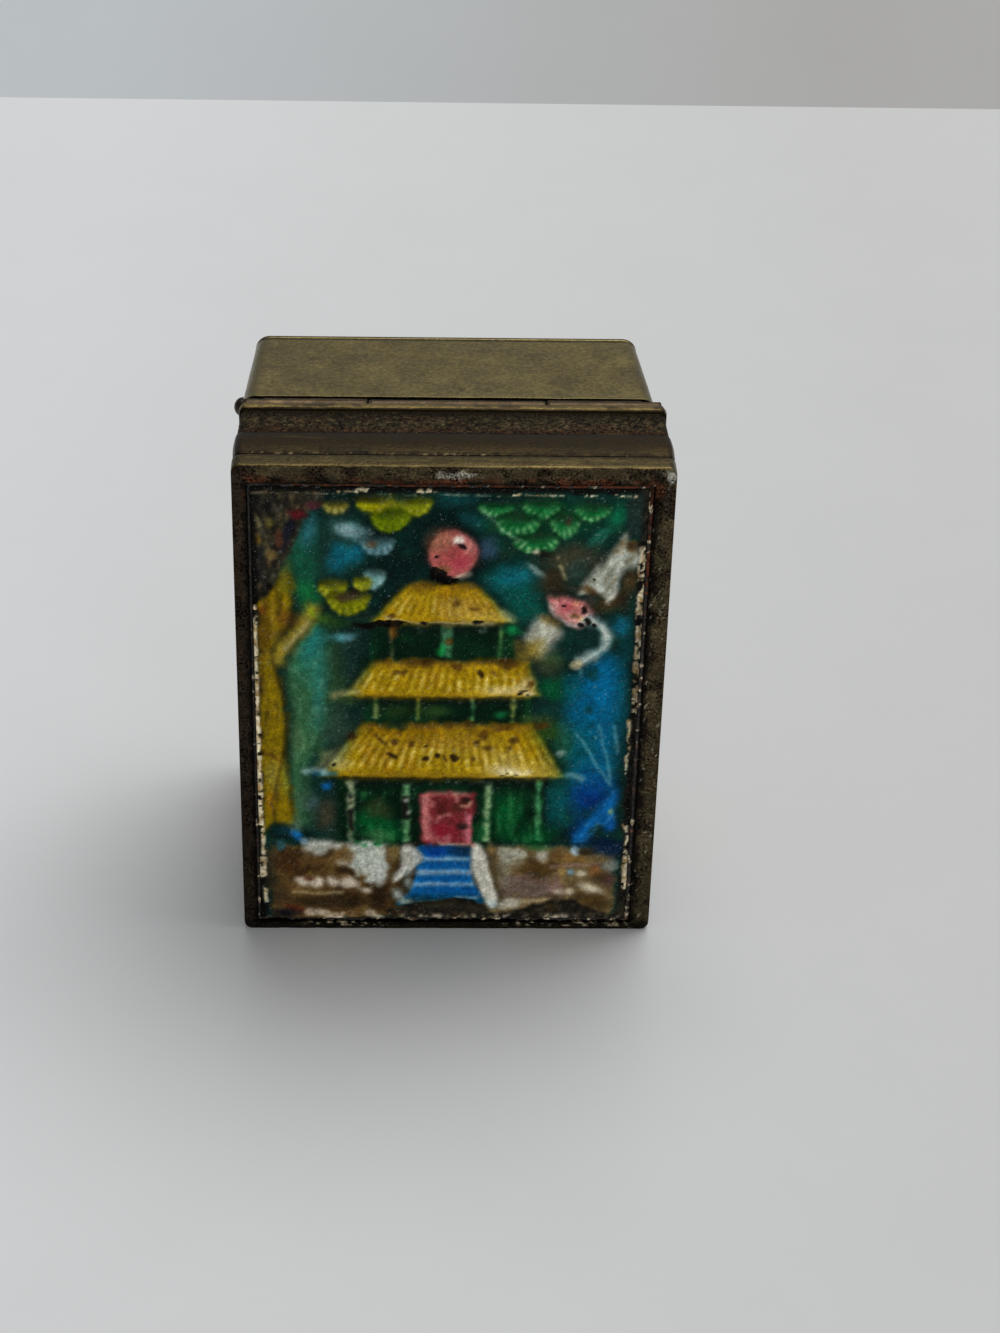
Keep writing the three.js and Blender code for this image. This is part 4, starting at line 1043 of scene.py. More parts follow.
def crumb_rows(p):
    """Rows of pale crumbs along the chipped lower edge, some broken and some nearly whole."""
    broken = smooth(0.0, 0.35, p.crumb + 0.3 * p.rag)
    whole = mix(broken, 1.0, 0.75)
    rows = ((((-13.0, 1.9), (-11.8, 2.0), (-10.8, 1.5), (-9.8, 1.3)), 0.62, whole),
            (((-11.2, 1.0), (-10.0, 1.6), (-8.4, 1.9), (-7.2, 1.9)), 0.62, broken),
            (((-7.6, 1.8), (-6.9, 1.7), (-6.2, 1.2)), 0.62, whole),
            (((-2.6, 1.5), (0.4, 1.5), (3.2, 1.4)), 0.42, broken),
            (((4.5, 1.6), (6.0, 1.2), (7.4, 0.7), (8.8, 0.8)), 0.42, broken),
            (((13.6, 0.9), (14.6, 0.6), (15.6, 0.6), (16.6, 1.7)), 0.62, whole),
            (((9.9, 1.2), (10.2, 1.2)), 0.42, whole),
            (((10.8, 1.6), (11.3, 1.6)), 0.42, whole))
    for row, width, share in rows:
        pale = inside(stroke(p, row, width) + 0.3 * p.rag, 0.16) * share
        p.paint((204, 190, 168), 0.92 * pale)
        p.height = p.height + 0.1 * pale


def storeys(p):
    """Three walled floors with slim posts, dark green glass between them."""
    for left, right, low, high in ((-7.2, 5.6, 30.2, 34.2), (-7.6, 7.2, 23.2, 26.9),
                                   (-10.2, 8.8, 10.2, 17.8)):
        wall = panel(p, left, right, low, high)
        p.lift(0.12 * smooth(0.3, -0.3, wall))
        p.paint(GREEN_DARK, 0.97 * inside(wall + 0.2 * p.rag, 0.3))
        p.paint((10, 66, 34), 0.6 * inside(wall, 0.2) * smooth(0.0, 0.6, p.drift))
    for at, size in (((-7.0, 12.4), (1.7, 2.0)), ((5.4, 13.2), (1.7, 3.0)), ((-5.0, 11.4), (1.4, 1.6)),
                     ((3.0, 11.4), (1.0, 2.0)), ((8.4, 11.0), (1.6, 1.6))):
        wash(p, (2, 84, 38), at, size, 0.9)
    wash(p, (44, 72, 28), (-1.6, 24.8), (1.8, 0.8), 0.8)
    wash(p, (14, 116, 62), (4.6, 24.5), (0.8, 0.5), 0.8)
    wash(p, (40, 54, 18), (-4.8, 24.8), (1.6, 0.9), 0.6)
    wash(p, (60, 66, 34), (-6.4, 14.0), (1.2, 1.2), 0.7)
    wash(p, (84, 70, 48), (-11.2, 13.2), (0.9, 1.9), 0.65)
    wash(p, (70, 98, 98), (-12.4, 14.6), (0.6, 1.2), 0.7)
    dab(p, (10, 92, 156), (-11.2, 16.5), (0.55, 0.5))
    wash(p, (10, 128, 66), (5.5, 33.5), (0.9, 0.5), 0.9)
    streaks = smooth(0.1, 0.6, cloud(p.x * 2.6, p.z * 0.45, 0.9, 28))
    p.paint((60, 138, 76), 0.5 * streaks * inside(panel(p, -8.6, 8.0, 10.0, 16.0), 0.4))
    wash(p, (70, 128, 74), (-6.3, 10.8), (1.5, 0.9), 0.7)
    under_eaves(p)
    posts(p)


def under_eaves(p):
    """Painted shadow below each roof, with pale grit in it."""
    grit = smooth(0.35, 0.6, p.crumb)
    for left, right, level in ((-9.5, 9.0, 16.9), (-6.5, 6.5, 25.9), (-6.0, 4.0, 33.4)):
        shade = inside(panel(p, left, right, level - 0.35, level + 0.6) + 0.2 * p.rag, 0.3)
        # painted shadow under the eave
        p.paint((8, 26, 18), 0.8 * shade)
        p.paint((136, 146, 136), 0.5 * shade * grit)


def posts(p):
    """Slim pale green posts between the panels."""
    rows = (((-5.3, 30.4, 33.8), 0.14, (84, 76, 50)), ((-0.5, 30.6, 33.8), 0.5, (70, 124, 86)),
            ((4.3, 30.6, 33.8), 0.18, (84, 120, 66)), ((-6.7, 24.0, 26.2), 0.2, (110, 118, 66)),
            ((-2.9, 23.8, 26.2), 0.16, (92, 100, 40)), ((1.95, 23.8, 26.2), 0.15, (80, 128, 80)),
            ((5.6, 23.6, 26.2), 0.2, (124, 126, 62)), ((-8.95, 10.2, 17.0), 0.36, (152, 158, 124)),
            ((-3.9, 10.2, 16.8), 0.34, (96, 142, 94)), ((3.55, 10.2, 16.8), 0.34, (138, 162, 116)),
            ((8.2, 10.4, 17.2), 0.28, (72, 138, 88)))
    for (x, low, high), half, colour in rows:
        shaft = panel(p, x - half, x + half, low, high)
        bulge = np.sqrt(np.clip(1.0 - ((p.x - x) / (half + 0.15)) ** 2, 0.0, 1.0))
        p.lift(0.4 * bulge * inside(shaft - 0.1, 0.15))
        worn = 0.45 + 0.55 * smooth(-0.5, 0.1, p.noise(0.6, 39))
        p.paint(colour, 0.85 * inside(shaft + 0.2 * p.rag + 0.15 * p.crumb, 0.2) * worn)
    dab(p, (14, 142, 66), (-0.75, 31.3), (0.35, 0.7))
    for at, size in (((-9.0, 14.6), (0.16, 0.16)), ((-9.0, 15.4), (0.16, 0.18))):
        dab(p, BLACK, at, size)
    brush(p, BLACK, ((-8.95, 13.7), (-9.0, 12.6), (-8.9, 11.6)), 0.55, 0.95, 0.14)
    brush(p, BLACK, ((-3.95, 15.1), (-4.0, 14.0), (-3.9, 13.0)), 0.6, 0.95, 0.14)
    dab(p, (206, 208, 196), (-3.9, 14.9), (0.2, 0.18))
    dab(p, (214, 214, 200), (-3.7, 13.6), (0.16, 0.18))


def door(p):
    """The red double door with its flaking pale rim."""
    slab = panel(p, -2.5, 2.3, 9.8, 15.8)
    p.lift(0.34 * smooth(0.25, -0.25, slab))
    p.paint((128, 42, 48), 0.97 * inside(slab + 0.6 * p.rag + 0.25 * p.crumb, 0.25))
    brush(p, (206, 128, 122), ((-2.2, 15.2), (-2.1, 13.4), (-1.8, 10.8)), 0.8, 0.8, 0.3)
    brush(p, (190, 116, 104), ((-1.8, 15.6), (0.0, 15.8), (1.6, 15.5)), 0.4, 0.7, 0.25)
    brush(p, (206, 118, 130), ((1.9, 13.0), (1.7, 11.6), (1.9, 10.4)), 0.7, 0.8, 0.3)
    wash(p, (84, 28, 26), (-0.6, 14.2), (0.9, 1.2), 0.9)
    wash(p, (78, 34, 28), (0.8, 14.5), (0.8, 0.8), 0.9)
    wash(p, (138, 26, 46), (-0.4, 11.4), (1.3, 1.1), 0.9)
    p.paint((216, 150, 142), 0.5 * inside(slab, 0.2) * smooth(0.2, 0.55, p.noise(0.7, 34)))
    dab(p, (40, 22, 18), (1.5, 14.9), (0.4, 0.35))
    dab(p, (36, 24, 20), (1.3, 12.0), (0.5, 0.35))
    brush(p, (206, 160, 132), ((2.0, 14.7), (1.7, 14.2), (1.2, 14.3)), 0.3, 0.8)
    brush(p, (206, 162, 138), ((-1.0, 9.9), (0.8, 9.8), (2.4, 9.8)), 0.35, 0.85)
    dab(p, (40, 26, 20), (-1.1, 9.9), (0.3, 0.2))
    dab(p, (30, 30, 20), (-2.7, 9.9), (0.5, 0.25))


def glazes(p):
    """Thin glazes over the finished ground: gold-green light beside the roofs, brown round the crane."""
    wash(p, (78, 88, 34), (7.6, 24.0), (1.6, 0.8), 0.6)
    wash(p, (44, 96, 58), (10.4, 21.2), (0.9, 2.4), 0.6)
    wash(p, (2, 86, 92), (10.6, 27.4), (1.0, 1.5), 0.65)
    wash(p, (72, 96, 52), (9.0, 30.6), (1.0, 1.1), 0.65)
    wash(p, (96, 88, 34), (6.2, 31.8), (1.0, 0.8), 0.6)
    wash(p, (44, 82, 28), (-10.2, 34.4), (1.4, 0.8), 0.65)
    wash(p, (72, 114, 30), (-11.3, 34.9), (0.9, 0.7), 0.65)
    wash(p, (36, 116, 110), (-12.0, 31.8), (1.3, 2.0), 0.6)
    wash(p, (66, 136, 136), (-9.9, 32.7), (1.2, 0.7), 0.6)
    wash(p, (34, 28, 18), (15.1, 36.6), (0.7, 1.3), 0.75)
    wash(p, (78, 60, 44), (10.8, 37.7), (0.9, 0.5), 0.65)
    wash(p, (138, 92, 84), (11.9, 36.2), (0.7, 0.8), 0.6)
    wash(p, (26, 28, 8), (-7.9, 46.8), (1.6, 0.5), 0.7)
    wash(p, (98, 122, 96), (-13.9, 12.0), (0.6, 0.8), 0.65)


def roof(p, top, eave, top_ends, eave_ends, ribs, rise):
    """A tiled roof: flared to a smooth rolled eave, its tips lifted, ribbed above."""
    drop = top - eave
    t = np.clip((top - p.z) / drop, 0.0, 1.0)
    left, right = mix(top_ends[0], eave_ends[0], t**0.8), mix(top_ends[1], eave_ends[1], t**0.8)
    half = (right - left) / 2
    u = np.clip((p.x - left) / half - 1.0, -1.5, 1.5)
    t = (top - p.z + 0.4 * np.clip(np.abs(u), 0, 1) ** 3 * t) / drop
    edge = np.maximum((np.abs(u) - 1.0) * half, np.maximum(-t, t - 1.0) * drop)
    t = np.clip(t, 0.0, 1.0)
    tiled = smooth(0.86, 0.74, t) * smooth(0.0, 0.25, t)
    ridge = np.abs(np.sin(math.pi * (1.0 - u) * ribs / 2)) * tiled + 0.7 * (1.0 - tiled)
    shoulder = 1.0 - 0.45 * np.clip(u, -1, 1) ** 4
    p.lift(rise * (0.45 + 0.55 * t) * shoulder * (0.84 + 0.16 * ridge) * smooth(0.3, -0.55, edge))
    ends = 1.0 - 0.7 * smooth(0.8, 1.02, np.abs(u) + 0.06 * p.rag)
    body = inside(edge + (0.1 + 0.25 * smooth(0.3, 0.0, t)) * p.rag, 0.3) * ends
    glaze_roof(p, body, tiled, ridge, t, u)


def glaze_roof(p, body, tiled, ridge, t, u):
    """Amber glass: deep between the ribs, a painted highlight on them, brown at the top, a painted highlight
    at the right eave and painted shade along the eave.
    """
    p.paint(AMBER, body)
    p.paint(AMBER_DEEP, 0.45 * body * tiled * (1.0 - ridge))
    # painted highlight along the rib crests; the mask named worn only breaks it up
    worn = smooth(-0.5, 0.3, p.rag + 0.5 * p.drift) * smooth(0.15, 0.5, t)
    p.paint(AMBER_HIGHLIGHT, 0.95 * body * tiled * ridge**9 * worn)
    p.paint((138, 96, 4), 0.6 * body * smooth(0.0, 0.6, p.drift + 0.4 * p.rag))
    p.paint((118, 84, 2), 0.75 * body * smooth(0.24, 0.0, t + 0.1 * p.rag))
    p.paint((66, 46, 10), 0.6 * body * smooth(0.4, 0.0, t) * smooth(0.0, 0.4, p.noise(0.9, 30)))
    # painted highlight towards the right eave
    p.paint((206, 182, 108), 0.5 * body * smooth(0.55, 0.9, t) * smooth(0.0, 0.6, u + 0.3 * p.drift))
    p.paint((170, 132, 14), 0.35 * body * smooth(0.8, 0.9, t) * smooth(0.1, -0.4, u))
    # painted shade along the rolled eave
    shade = smooth(0.76, 0.97, t) * smooth(0.97, 0.6, np.abs(u)) * (1.0 - 0.4 * smooth(0.1, 0.5, u))
    p.paint((108, 84, 14), 0.75 * body * shade)


def roofs(p):
    """The three roofs, lowest first."""
    roof(p, 23.5, 17.2, (-7.7, 7.2), (-12.0, 10.6), 24, RELIEF)
    roof(p, 30.3, 26.1, (-7.0, 6.9), (-9.7, 8.1), 20, 0.9 * RELIEF)
    wash(p, GREEN_DARK, (-7.5, 29.9), (0.8, 0.6), 0.75, 0.7)
    roof(p, 38.4, 34.0, (-3.6, 1.8), (-7.5, 5.7), 15, 0.83 * RELIEF)


def roof_lights(p):
    """Painted highlights over the roofs and on their right-hand tips and eaves, and the roofs' pale glassy
    ends.
    """
    # painted highlights on the middles of roof 3 and roof 1
    wash(p, (190, 164, 92), (0.6, 35.8), (2.4, 1.1), 0.35)
    wash(p, (178, 150, 70), (0.4, 20.8), (4.6, 1.6), 0.3)
    wash(p, GREEN_DARK, (-4.9, 23.3), (1.3, 0.5), 0.9)
    # painted highlights at the right of roof 1
    wash(p, (226, 208, 152), (5.2, 18.5), (2.0, 0.7), 0.75)
    dab(p, (234, 218, 160), (5.7, 18.15), (1.3, 0.35))
    brush(p, (148, 148, 92), ((-11.7, 18.8), (-10.6, 19.6), (-9.6, 20.6)), 1.0, 0.6, 0.45)
    # painted highlight at the right of roof 1
    wash(p, (206, 186, 122), (5.2, 19.9), (1.7, 0.9), 0.45)
    dab(p, (56, 36, 10), (-8.9, 22.1), (0.5, 0.35))
    # painted highlights at the right end of roof 2
    dab(p, (220, 200, 150), (7.0, 26.75), (0.5, 0.3))
    wash(p, (226, 208, 152), (4.6, 27.2), (2.2, 0.6), 0.6)
    wash(p, (196, 184, 122), (-9.8, 19.0), (1.2, 0.8), 0.6)
    brush(p, (10, 92, 140), ((-12.2, 17.9), (-10.4, 17.8)), 0.4, 0.8, 0.3)
    brush(p, (146, 178, 178), ((-13.0, 18.2), (-12.2, 18.4), (-11.3, 18.1)), 0.65, 0.85, 0.3)
    wash(p, (140, 150, 104), (-10.9, 19.6), (0.9, 0.9), 0.8, 0.8)
    brush(p, (112, 168, 176), ((10.6, 17.9), (11.2, 17.9), (12.0, 17.4)), 0.6, 0.85, 0.3)
    dab(p, (150, 180, 172), (10.1, 20.2), (0.35, 0.35))
    brush(p, (150, 148, 98), ((-10.4, 26.5), (-9.4, 26.8), (-8.5, 26.9)), 0.7, 0.8, 0.4)
    # painted highlight at the right end of roof 2
    wash(p, (206, 186, 128), (6.6, 27.7), (1.1, 0.8), 0.8)
    # painted highlights on roof 3's right side and along its eave
    wash(p, (178, 184, 128), (4.9, 35.0), (1.1, 0.5), 0.7, -0.7)
    brush(p, (204, 192, 150), ((-5.8, 34.8), (-3.4, 34.2), (0.0, 34.1), (3.6, 34.1)), 0.3, 0.7)


def finial(p):
    """The ball on top: peach above, crimson below, with a painted white highlight, flaked, and a painted
    highlight on its lower rim.
    """
    ball = oval(p, (0.0, 41.35), (2.2, 2.6))
    reach = np.clip(ball / 2.2 + 1.0, 0.0, 1.0)
    p.lift(RELIEF * np.sqrt(1.0 - reach**2))
    p.paint((166, 84, 80), inside(ball + 0.2 * p.rag + 0.1 * p.crumb, 0.3))
    wash(p, (156, 102, 78), (-1.2, 42.6), (1.2, 1.6), 0.85, 0.4)
    wash(p, (170, 70, 72), (0.1, 41.3), (1.4, 1.2), 0.8)
    wash(p, (176, 58, 76), (0.7, 40.4), (0.9, 0.8), 0.8)
    # painted highlight: a pale glow and a white spot at the upper right
    wash(p, (206, 150, 140), (1.2, 42.2), (0.6, 1.0), 0.5)
    dab(p, (236, 232, 220), (0.6, 42.8), (0.45, 0.5), -0.4)
    # painted highlight along the ball's lower rim
    brush(p, (206, 186, 160), ((0.4, 38.9), (1.0, 39.0), (1.5, 39.3)), 0.45, 0.85)
    dab(p, (124, 84, 52), (-0.8, 39.8), (0.55, 0.35))


def sink(p, colour, depth, soft, rows):
    """Sinks and darkens small spots, each given by its place, half sizes and turn."""
    for at, size, turn in rows:
        hole = inside(oval(p, at, size, turn, 0.3) + min(size) * (0.4 * p.crumb + 0.4 * p.rag), soft)
        p.height = p.height - depth * hole
        p.paint(colour, 0.9 * hole)
        p.rough = mix(p.rough, 0.7, hole)


def black_pits(p):
    """Fired-out pits that show black metal, about where the photograph has them."""
    black = (((0.7, 42.15), (0.45, 0.26), -0.5), ((-1.4, 41.1), (0.16, 0.16), 0.0),
             ((-1.4, 39.3), (1.0, 0.62), -0.4), ((-0.6, 38.8), (1.2, 0.6), -0.2),
             ((-7.0, 34.0), (1.3, 0.36), 0.0), ((-5.0, 34.1), (1.6, 0.3), 0.0),
             ((-2.3, 34.15), (0.5, 0.2), -0.2), ((2.3, 34.2), (0.55, 0.18), 0.15),
             ((-2.4, 21.05), (0.16, 0.1), 0.0), ((6.2, 26.8), (0.3, 0.2), 0.8),
             ((6.9, 26.5), (0.12, 0.2), 0.3), ((6.5, 27.15), (0.3, 0.09), 0.0),
             ((5.2, 18.1), (0.13, 0.08), 0.0), ((6.0, 18.0), (0.18, 0.1), 0.3),
             ((5.7, 17.7), (0.11, 0.1), 0.0), ((4.8, 17.8), (0.16, 0.08), -0.2),
             ((9.6, 36.0), (0.2, 0.16), 0.0), ((11.6, 35.6), (0.36, 0.34), 0.5),
             ((11.3, 34.0), (0.3, 0.18), 0.0), ((11.95, 34.4), (0.3, 0.4), 0.5),
             ((12.6, 33.95), (0.28, 0.22), -0.5), ((12.5, 39.0), (0.15, 0.15), 0.0),
             ((-10.4, 18.9), (0.16, 0.2), 0.0))
    sink(p, BLACK, 0.1, 0.1, black)


def brown_flakes(p):
    """Shallow flakes that show brown metal, the darker ones first."""
    umber = (((-5.2, 19.9), (0.5, 0.26), -0.5), ((0.45, 19.75), (0.36, 0.3), 0.4),
             ((-1.15, 19.9), (0.24, 0.32), -0.4), ((-2.1, 19.7), (0.32, 0.26), 0.5),
             ((2.4, 28.8), (0.26, 0.46), 0.3))
    brown = (((-5.0, 21.5), (0.4, 0.4), 0.0), ((-3.6, 21.3), (0.3, 0.3), 0.0),
             ((-0.4, 19.6), (0.2, 0.24), 0.0), ((2.1, 19.6), (0.2, 0.26), 0.0),
             ((3.0, 22.3), (0.5, 0.5), 0.0), ((2.4, 21.4), (0.24, 0.3), 0.0),
             ((3.5, 20.8), (0.42, 0.24), 0.0), ((5.8, 21.7), (0.42, 0.34), 0.4),
             ((5.3, 21.0), (0.26, 0.3), 0.0), ((4.9, 23.0), (0.65, 0.34), 0.0),
             ((-4.6, 29.1), (0.6, 0.26), 0.0), ((-2.2, 30.1), (0.55, 0.34), 0.4),
             ((0.6, 29.6), (0.5, 0.34), -0.5), ((3.7, 29.0), (0.32, 0.32), 0.0),
             ((5.0, 30.2), (0.9, 0.42), 0.0), ((7.1, 27.9), (0.36, 0.44), 0.0),
             ((0.6, 36.2), (0.22, 0.3), 0.2), ((2.0, 35.6), (0.4, 0.18), 0.0),
             ((-5.2, 34.9), (0.24, 0.24), 0.0), ((-5.0, 33.2), (0.4, 0.7), 0.0),
             ((8.4, 23.3), (0.7, 0.36), 0.0), ((10.8, 34.9), (0.32, 0.2), 0.0),
             ((-0.2, 32.3), (0.28, 0.28), 0.0), ((-6.2, 21.6), (0.2, 0.9), 0.7))
    sink(p, (46, 30, 8), 0.04, 0.14, umber)
    sink(p, (88, 60, 16), 0.02, 0.22, brown)


def setting_line(p):
    """The black setting line round the plaque."""
    left, right = p.true_x - p.true_x.min(), p.true_x.max() - p.true_x
    head = p.true_z.max() - p.true_z
    black = np.minimum(np.minimum(left - 0.42, right - 0.55), head - 0.45) + 0.25 * p.rag
    dark = inside(black, 0.25)
    p.paint((12, 11, 9), 0.95 * dark)
    p.paint((46, 42, 32), 0.8 * dark * smooth(1.2, 0.4, right) * smooth(-0.5, 0.2, p.crumb))
    p.rough = mix(p.rough, 0.65, dark)
    p.paint((34, 46, 42), 0.8 * inside(panel(p, 15.0, 16.3, 43.2, 47.4) + 0.2 * p.rag, 0.3))


def ground_coat(p):
    """The pale ground coat that shows in broken strips along the border."""
    broken = smooth(-0.25, 0.1, p.crumb + 0.4 * p.rag)
    strips = ((((-17.3, 36.2), (-17.3, 24.0)), 0.42, smooth(-0.35, 0.0, p.crumb + 0.3 * p.drift)),
              (((-17.32, 24.0), (-17.3, 12.4)), 0.65, smooth(-0.45, -0.15, p.crumb + 0.5 * p.rag)),
              (((-17.1, 12.2), (-17.1, 8.8)), 0.36, broken),
              (((-17.25, 8.0), (-17.2, 6.4)), 0.85, smooth(-0.5, -0.2, p.crumb)),
              (((-16.9, 5.0), (-16.9, 3.2)), 0.4, broken),
              (((16.4, 42.0), (16.5, 33.0), (16.5, 25.0)), 0.62, broken),
              (((16.1, 24.6), (16.15, 22.0), (16.0, 18.0)), 0.3, broken),
              (((16.2, 12.2), (16.5, 10.6), (16.4, 9.0)), 0.34, broken),
              (((16.5, 8.4), (16.5, 5.0)), 0.5, smooth(-0.5, -0.2, p.crumb)),
              (((4.6, 47.35), (9.0, 47.3), (15.6, 47.2)), 0.24, smooth(0.05, 0.3, p.crumb + 0.3 * p.rag)),
              (((-9.9, 47.5), (-8.3, 47.5)), 0.2, broken), (((-8.2, 47.6), (-7.4, 47.7)), 0.5, broken),
              (((-3.0, 47.6), (-1.7, 47.6)), 0.45, broken),
              (((-17.6, 47.4), (4.0, 47.2)), 0.12, 0.5 * broken))
    for line, width, share in strips:
        pale = inside(stroke(p, line, width) + 0.12 * p.rag, 0.1) * share
        p.paint((200, 188, 158), 0.95 * pale)
        p.paint((112, 86, 44), 0.75 * pale * smooth(-0.1, 0.45, p.noise(0.7, 45)))
        p.height = p.height + 0.06 * pale
        p.rough = mix(p.rough, 0.55, pale)


def settle_and_light(p):
    """Paler on crests from thinner glass and a painted highlight, darker in hollows from pooled glass and
    painted shade; grit and tiny bubbles lie over all of it.
    """
    crest = np.clip((p.height - blur(p.height, 6)) / 0.12, -1.0, 1.0)
    pooling_and_shade = np.clip((blur(p.height, 60) - p.height) / 0.22, 0.0, 1.0)
    # painted highlight on the crests and painted shade in the hollows, over the glass's own thin and pooled
    # tones
    p.colour = p.colour * ((1.0 + 0.3 * crest) * (1.0 - 0.5 * pooling_and_shade))[..., None]
    p.colour = p.colour * (1.0 + 0.16 * p.noise(0.28, 17) + 0.1 * p.rag)[..., None]
    specks = smooth(0.6, 0.7, p.noise(0.3, 18)) * smooth(-0.3, 0.4, p.drift)
    p.paint((150, 162, 156), 0.4 * specks)
    p.colour = np.clip(p.colour, 0.0, 1.0)


def blur(values, steps):
    """Evens out an array, further with each step."""
    for _ in range(steps):
        for axis in (0, 1):
            ahead, back = np.roll(values, 1, axis), np.roll(values, -1, axis)
            values = 0.25 * ahead + 0.5 * values + 0.25 * back
    return values


def draw(p):
    """Paints the layers from the ground up, then the damage, the border, and over all the painted highlights
    and shade with the grit and wear.
    """
    for layer in (ground, ground_drifts, right_bank, left_fold, trunk, pale_limb, corner_loss, clouds,
                  pines, raised_wing, trailing_wing, crane_body, crane_neck, left_wall, left_stones,
                  right_wall, right_stones, storeys, stairs, balustrades, door, foot, crumb_rows, glazes,
                  roofs, roof_lights, finial):
        layer(p)
    p.height = blur(p.height, 2)
    p.colour = blur(p.colour, 1)
    for layer in (black_pits, brown_flakes, setting_line, ground_coat, settle_and_light):
        layer(p)


def seen_picture(columns, rows):
    """Draws twice: relief moves what is seen, so the second drawing allows for the first one's height."""
    flat = Picture(columns, rows, PLAQUE_SINK * VIEW_SLOPE)
    draw(flat)
    seen = Picture(columns, rows, (PLAQUE_SINK - blur(flat.height, 2)) * VIEW_SLOPE)
    draw(seen)
    return seen


def make_plaque(material):
    """The repousse plaque with its picture in relief and colour."""
    p = seen_picture(*PLAQUE_GRID)
    height = np.clip(p.height, -0.2, RELIEF - 0.01)
    points = np.stack([p.true_x + MID_X, PLAQUE_Y - height, p.true_z], -1)
    return backed_sheet("plaque_relief", points, PLAQUE_HIGH[1], p.colour, p.rough, material)


def backed_sheet(name, points, back, colours, rough, material):
    """A sheet with a worked front, straight sides and a flat back."""
    rows, columns = points.shape[:2]
    edge = [(i, 0) for i in range(rows)] + [(rows - 1, j) for j in range(1, columns)]
    edge += [(i, columns - 1) for i in range(rows - 2, -1, -1)] + [(0, j) for j in range(columns - 2, 0, -1)]
    picks = np.array(edge)
    rim = points[picks[:, 0], picks[:, 1]].copy()
    rim[:, 1] = back
    first = rows * columns
    count = len(edge)
    faces = quad_faces(rows, columns, False, False)
    for k in range(count):
        a, b = edge[k], edge[(k + 1) % count]
        top_a, top_b = a[0] * columns + a[1], b[0] * columns + b[1]
        faces.append([top_a, top_b, first + (k + 1) % count, first + k][::-1])
    faces.append([first + k for k in range(count)])
    all_points = np.concatenate([points.reshape(-1, 3), rim])
    all_colours = np.concatenate([colours.reshape(-1, 3), tint(SOOT, (count,))])
    all_rough = np.concatenate([rough.ravel(), np.full(count, 0.7)])
    return make_piece(name, all_points, faces, all_colours, all_rough, material)


# Brass pieces


def frame_stations():
    """Share of the way in to the opening, inset and depth of each ring round the face frame's section."""
    face_steps, edge_steps = 14, 5
    stations = [(1.0, 0.0, FRAME_T), (1.0, 0.0, FRAME_T * 0.5), (1.0, 0.0, 0.12), (0.97, 0.0, 0.03)]
    stations += [(1.0 - 0.94 * (k + 1) / face_steps - 0.03, 0.0, 0.0) for k in range(face_steps)]
    for k in range(1, edge_steps + 1):
        angle = math.pi / 2 * k / edge_steps
        inset = FRAME_EDGE_R * (1 - math.sin(angle)) * 0.8
        stations.append((0.0, inset, FRAME_EDGE_R * (1 - math.cos(angle))))
    for k in range(1, edge_steps + 1):
        stations.append((0.0, 0.0, mix(FRAME_EDGE_R, FRAME_T, k / edge_steps)))
    return stations


def make_face_frame(material):
    """The flat frame round the plaque: dull face, bright outer edge of worn brass with a painted highlight,
    dirty inner edge.
    """
    opening = box_path(OPEN_LOW, OPEN_HIGH, 0.0, OPENING_R, *FRAME_STEPS)
    stations = frame_stations()
    rings = []
    for share, inset, depth in stations:
        outer = box_path(FACE_LOW, FACE_HIGH, inset, FRAME_CORNER_R, *FRAME_STEPS)
        rings.append(ring(mix(outer, opening, share), FACE_Y + depth))
    points = np.array(rings)
    x, y, z = np.moveaxis(points - (MID_X, FACE_Y, 0.0), -1, 0)
    points[..., 1] += 0.06 * np.clip(cloud(x, z, 1.1, 131), 0, 1) * (y < 0.2)
    inner = np.array([s[0] for s in stations])[:, None] * np.ones(points.shape[1])
    colours, rough = frame_finish(x, y, z, inner)
    faces = quad_faces(*points.shape[:2], True, True)
    return make_piece("worn_face_frame", points, faces, colours, rough, material)


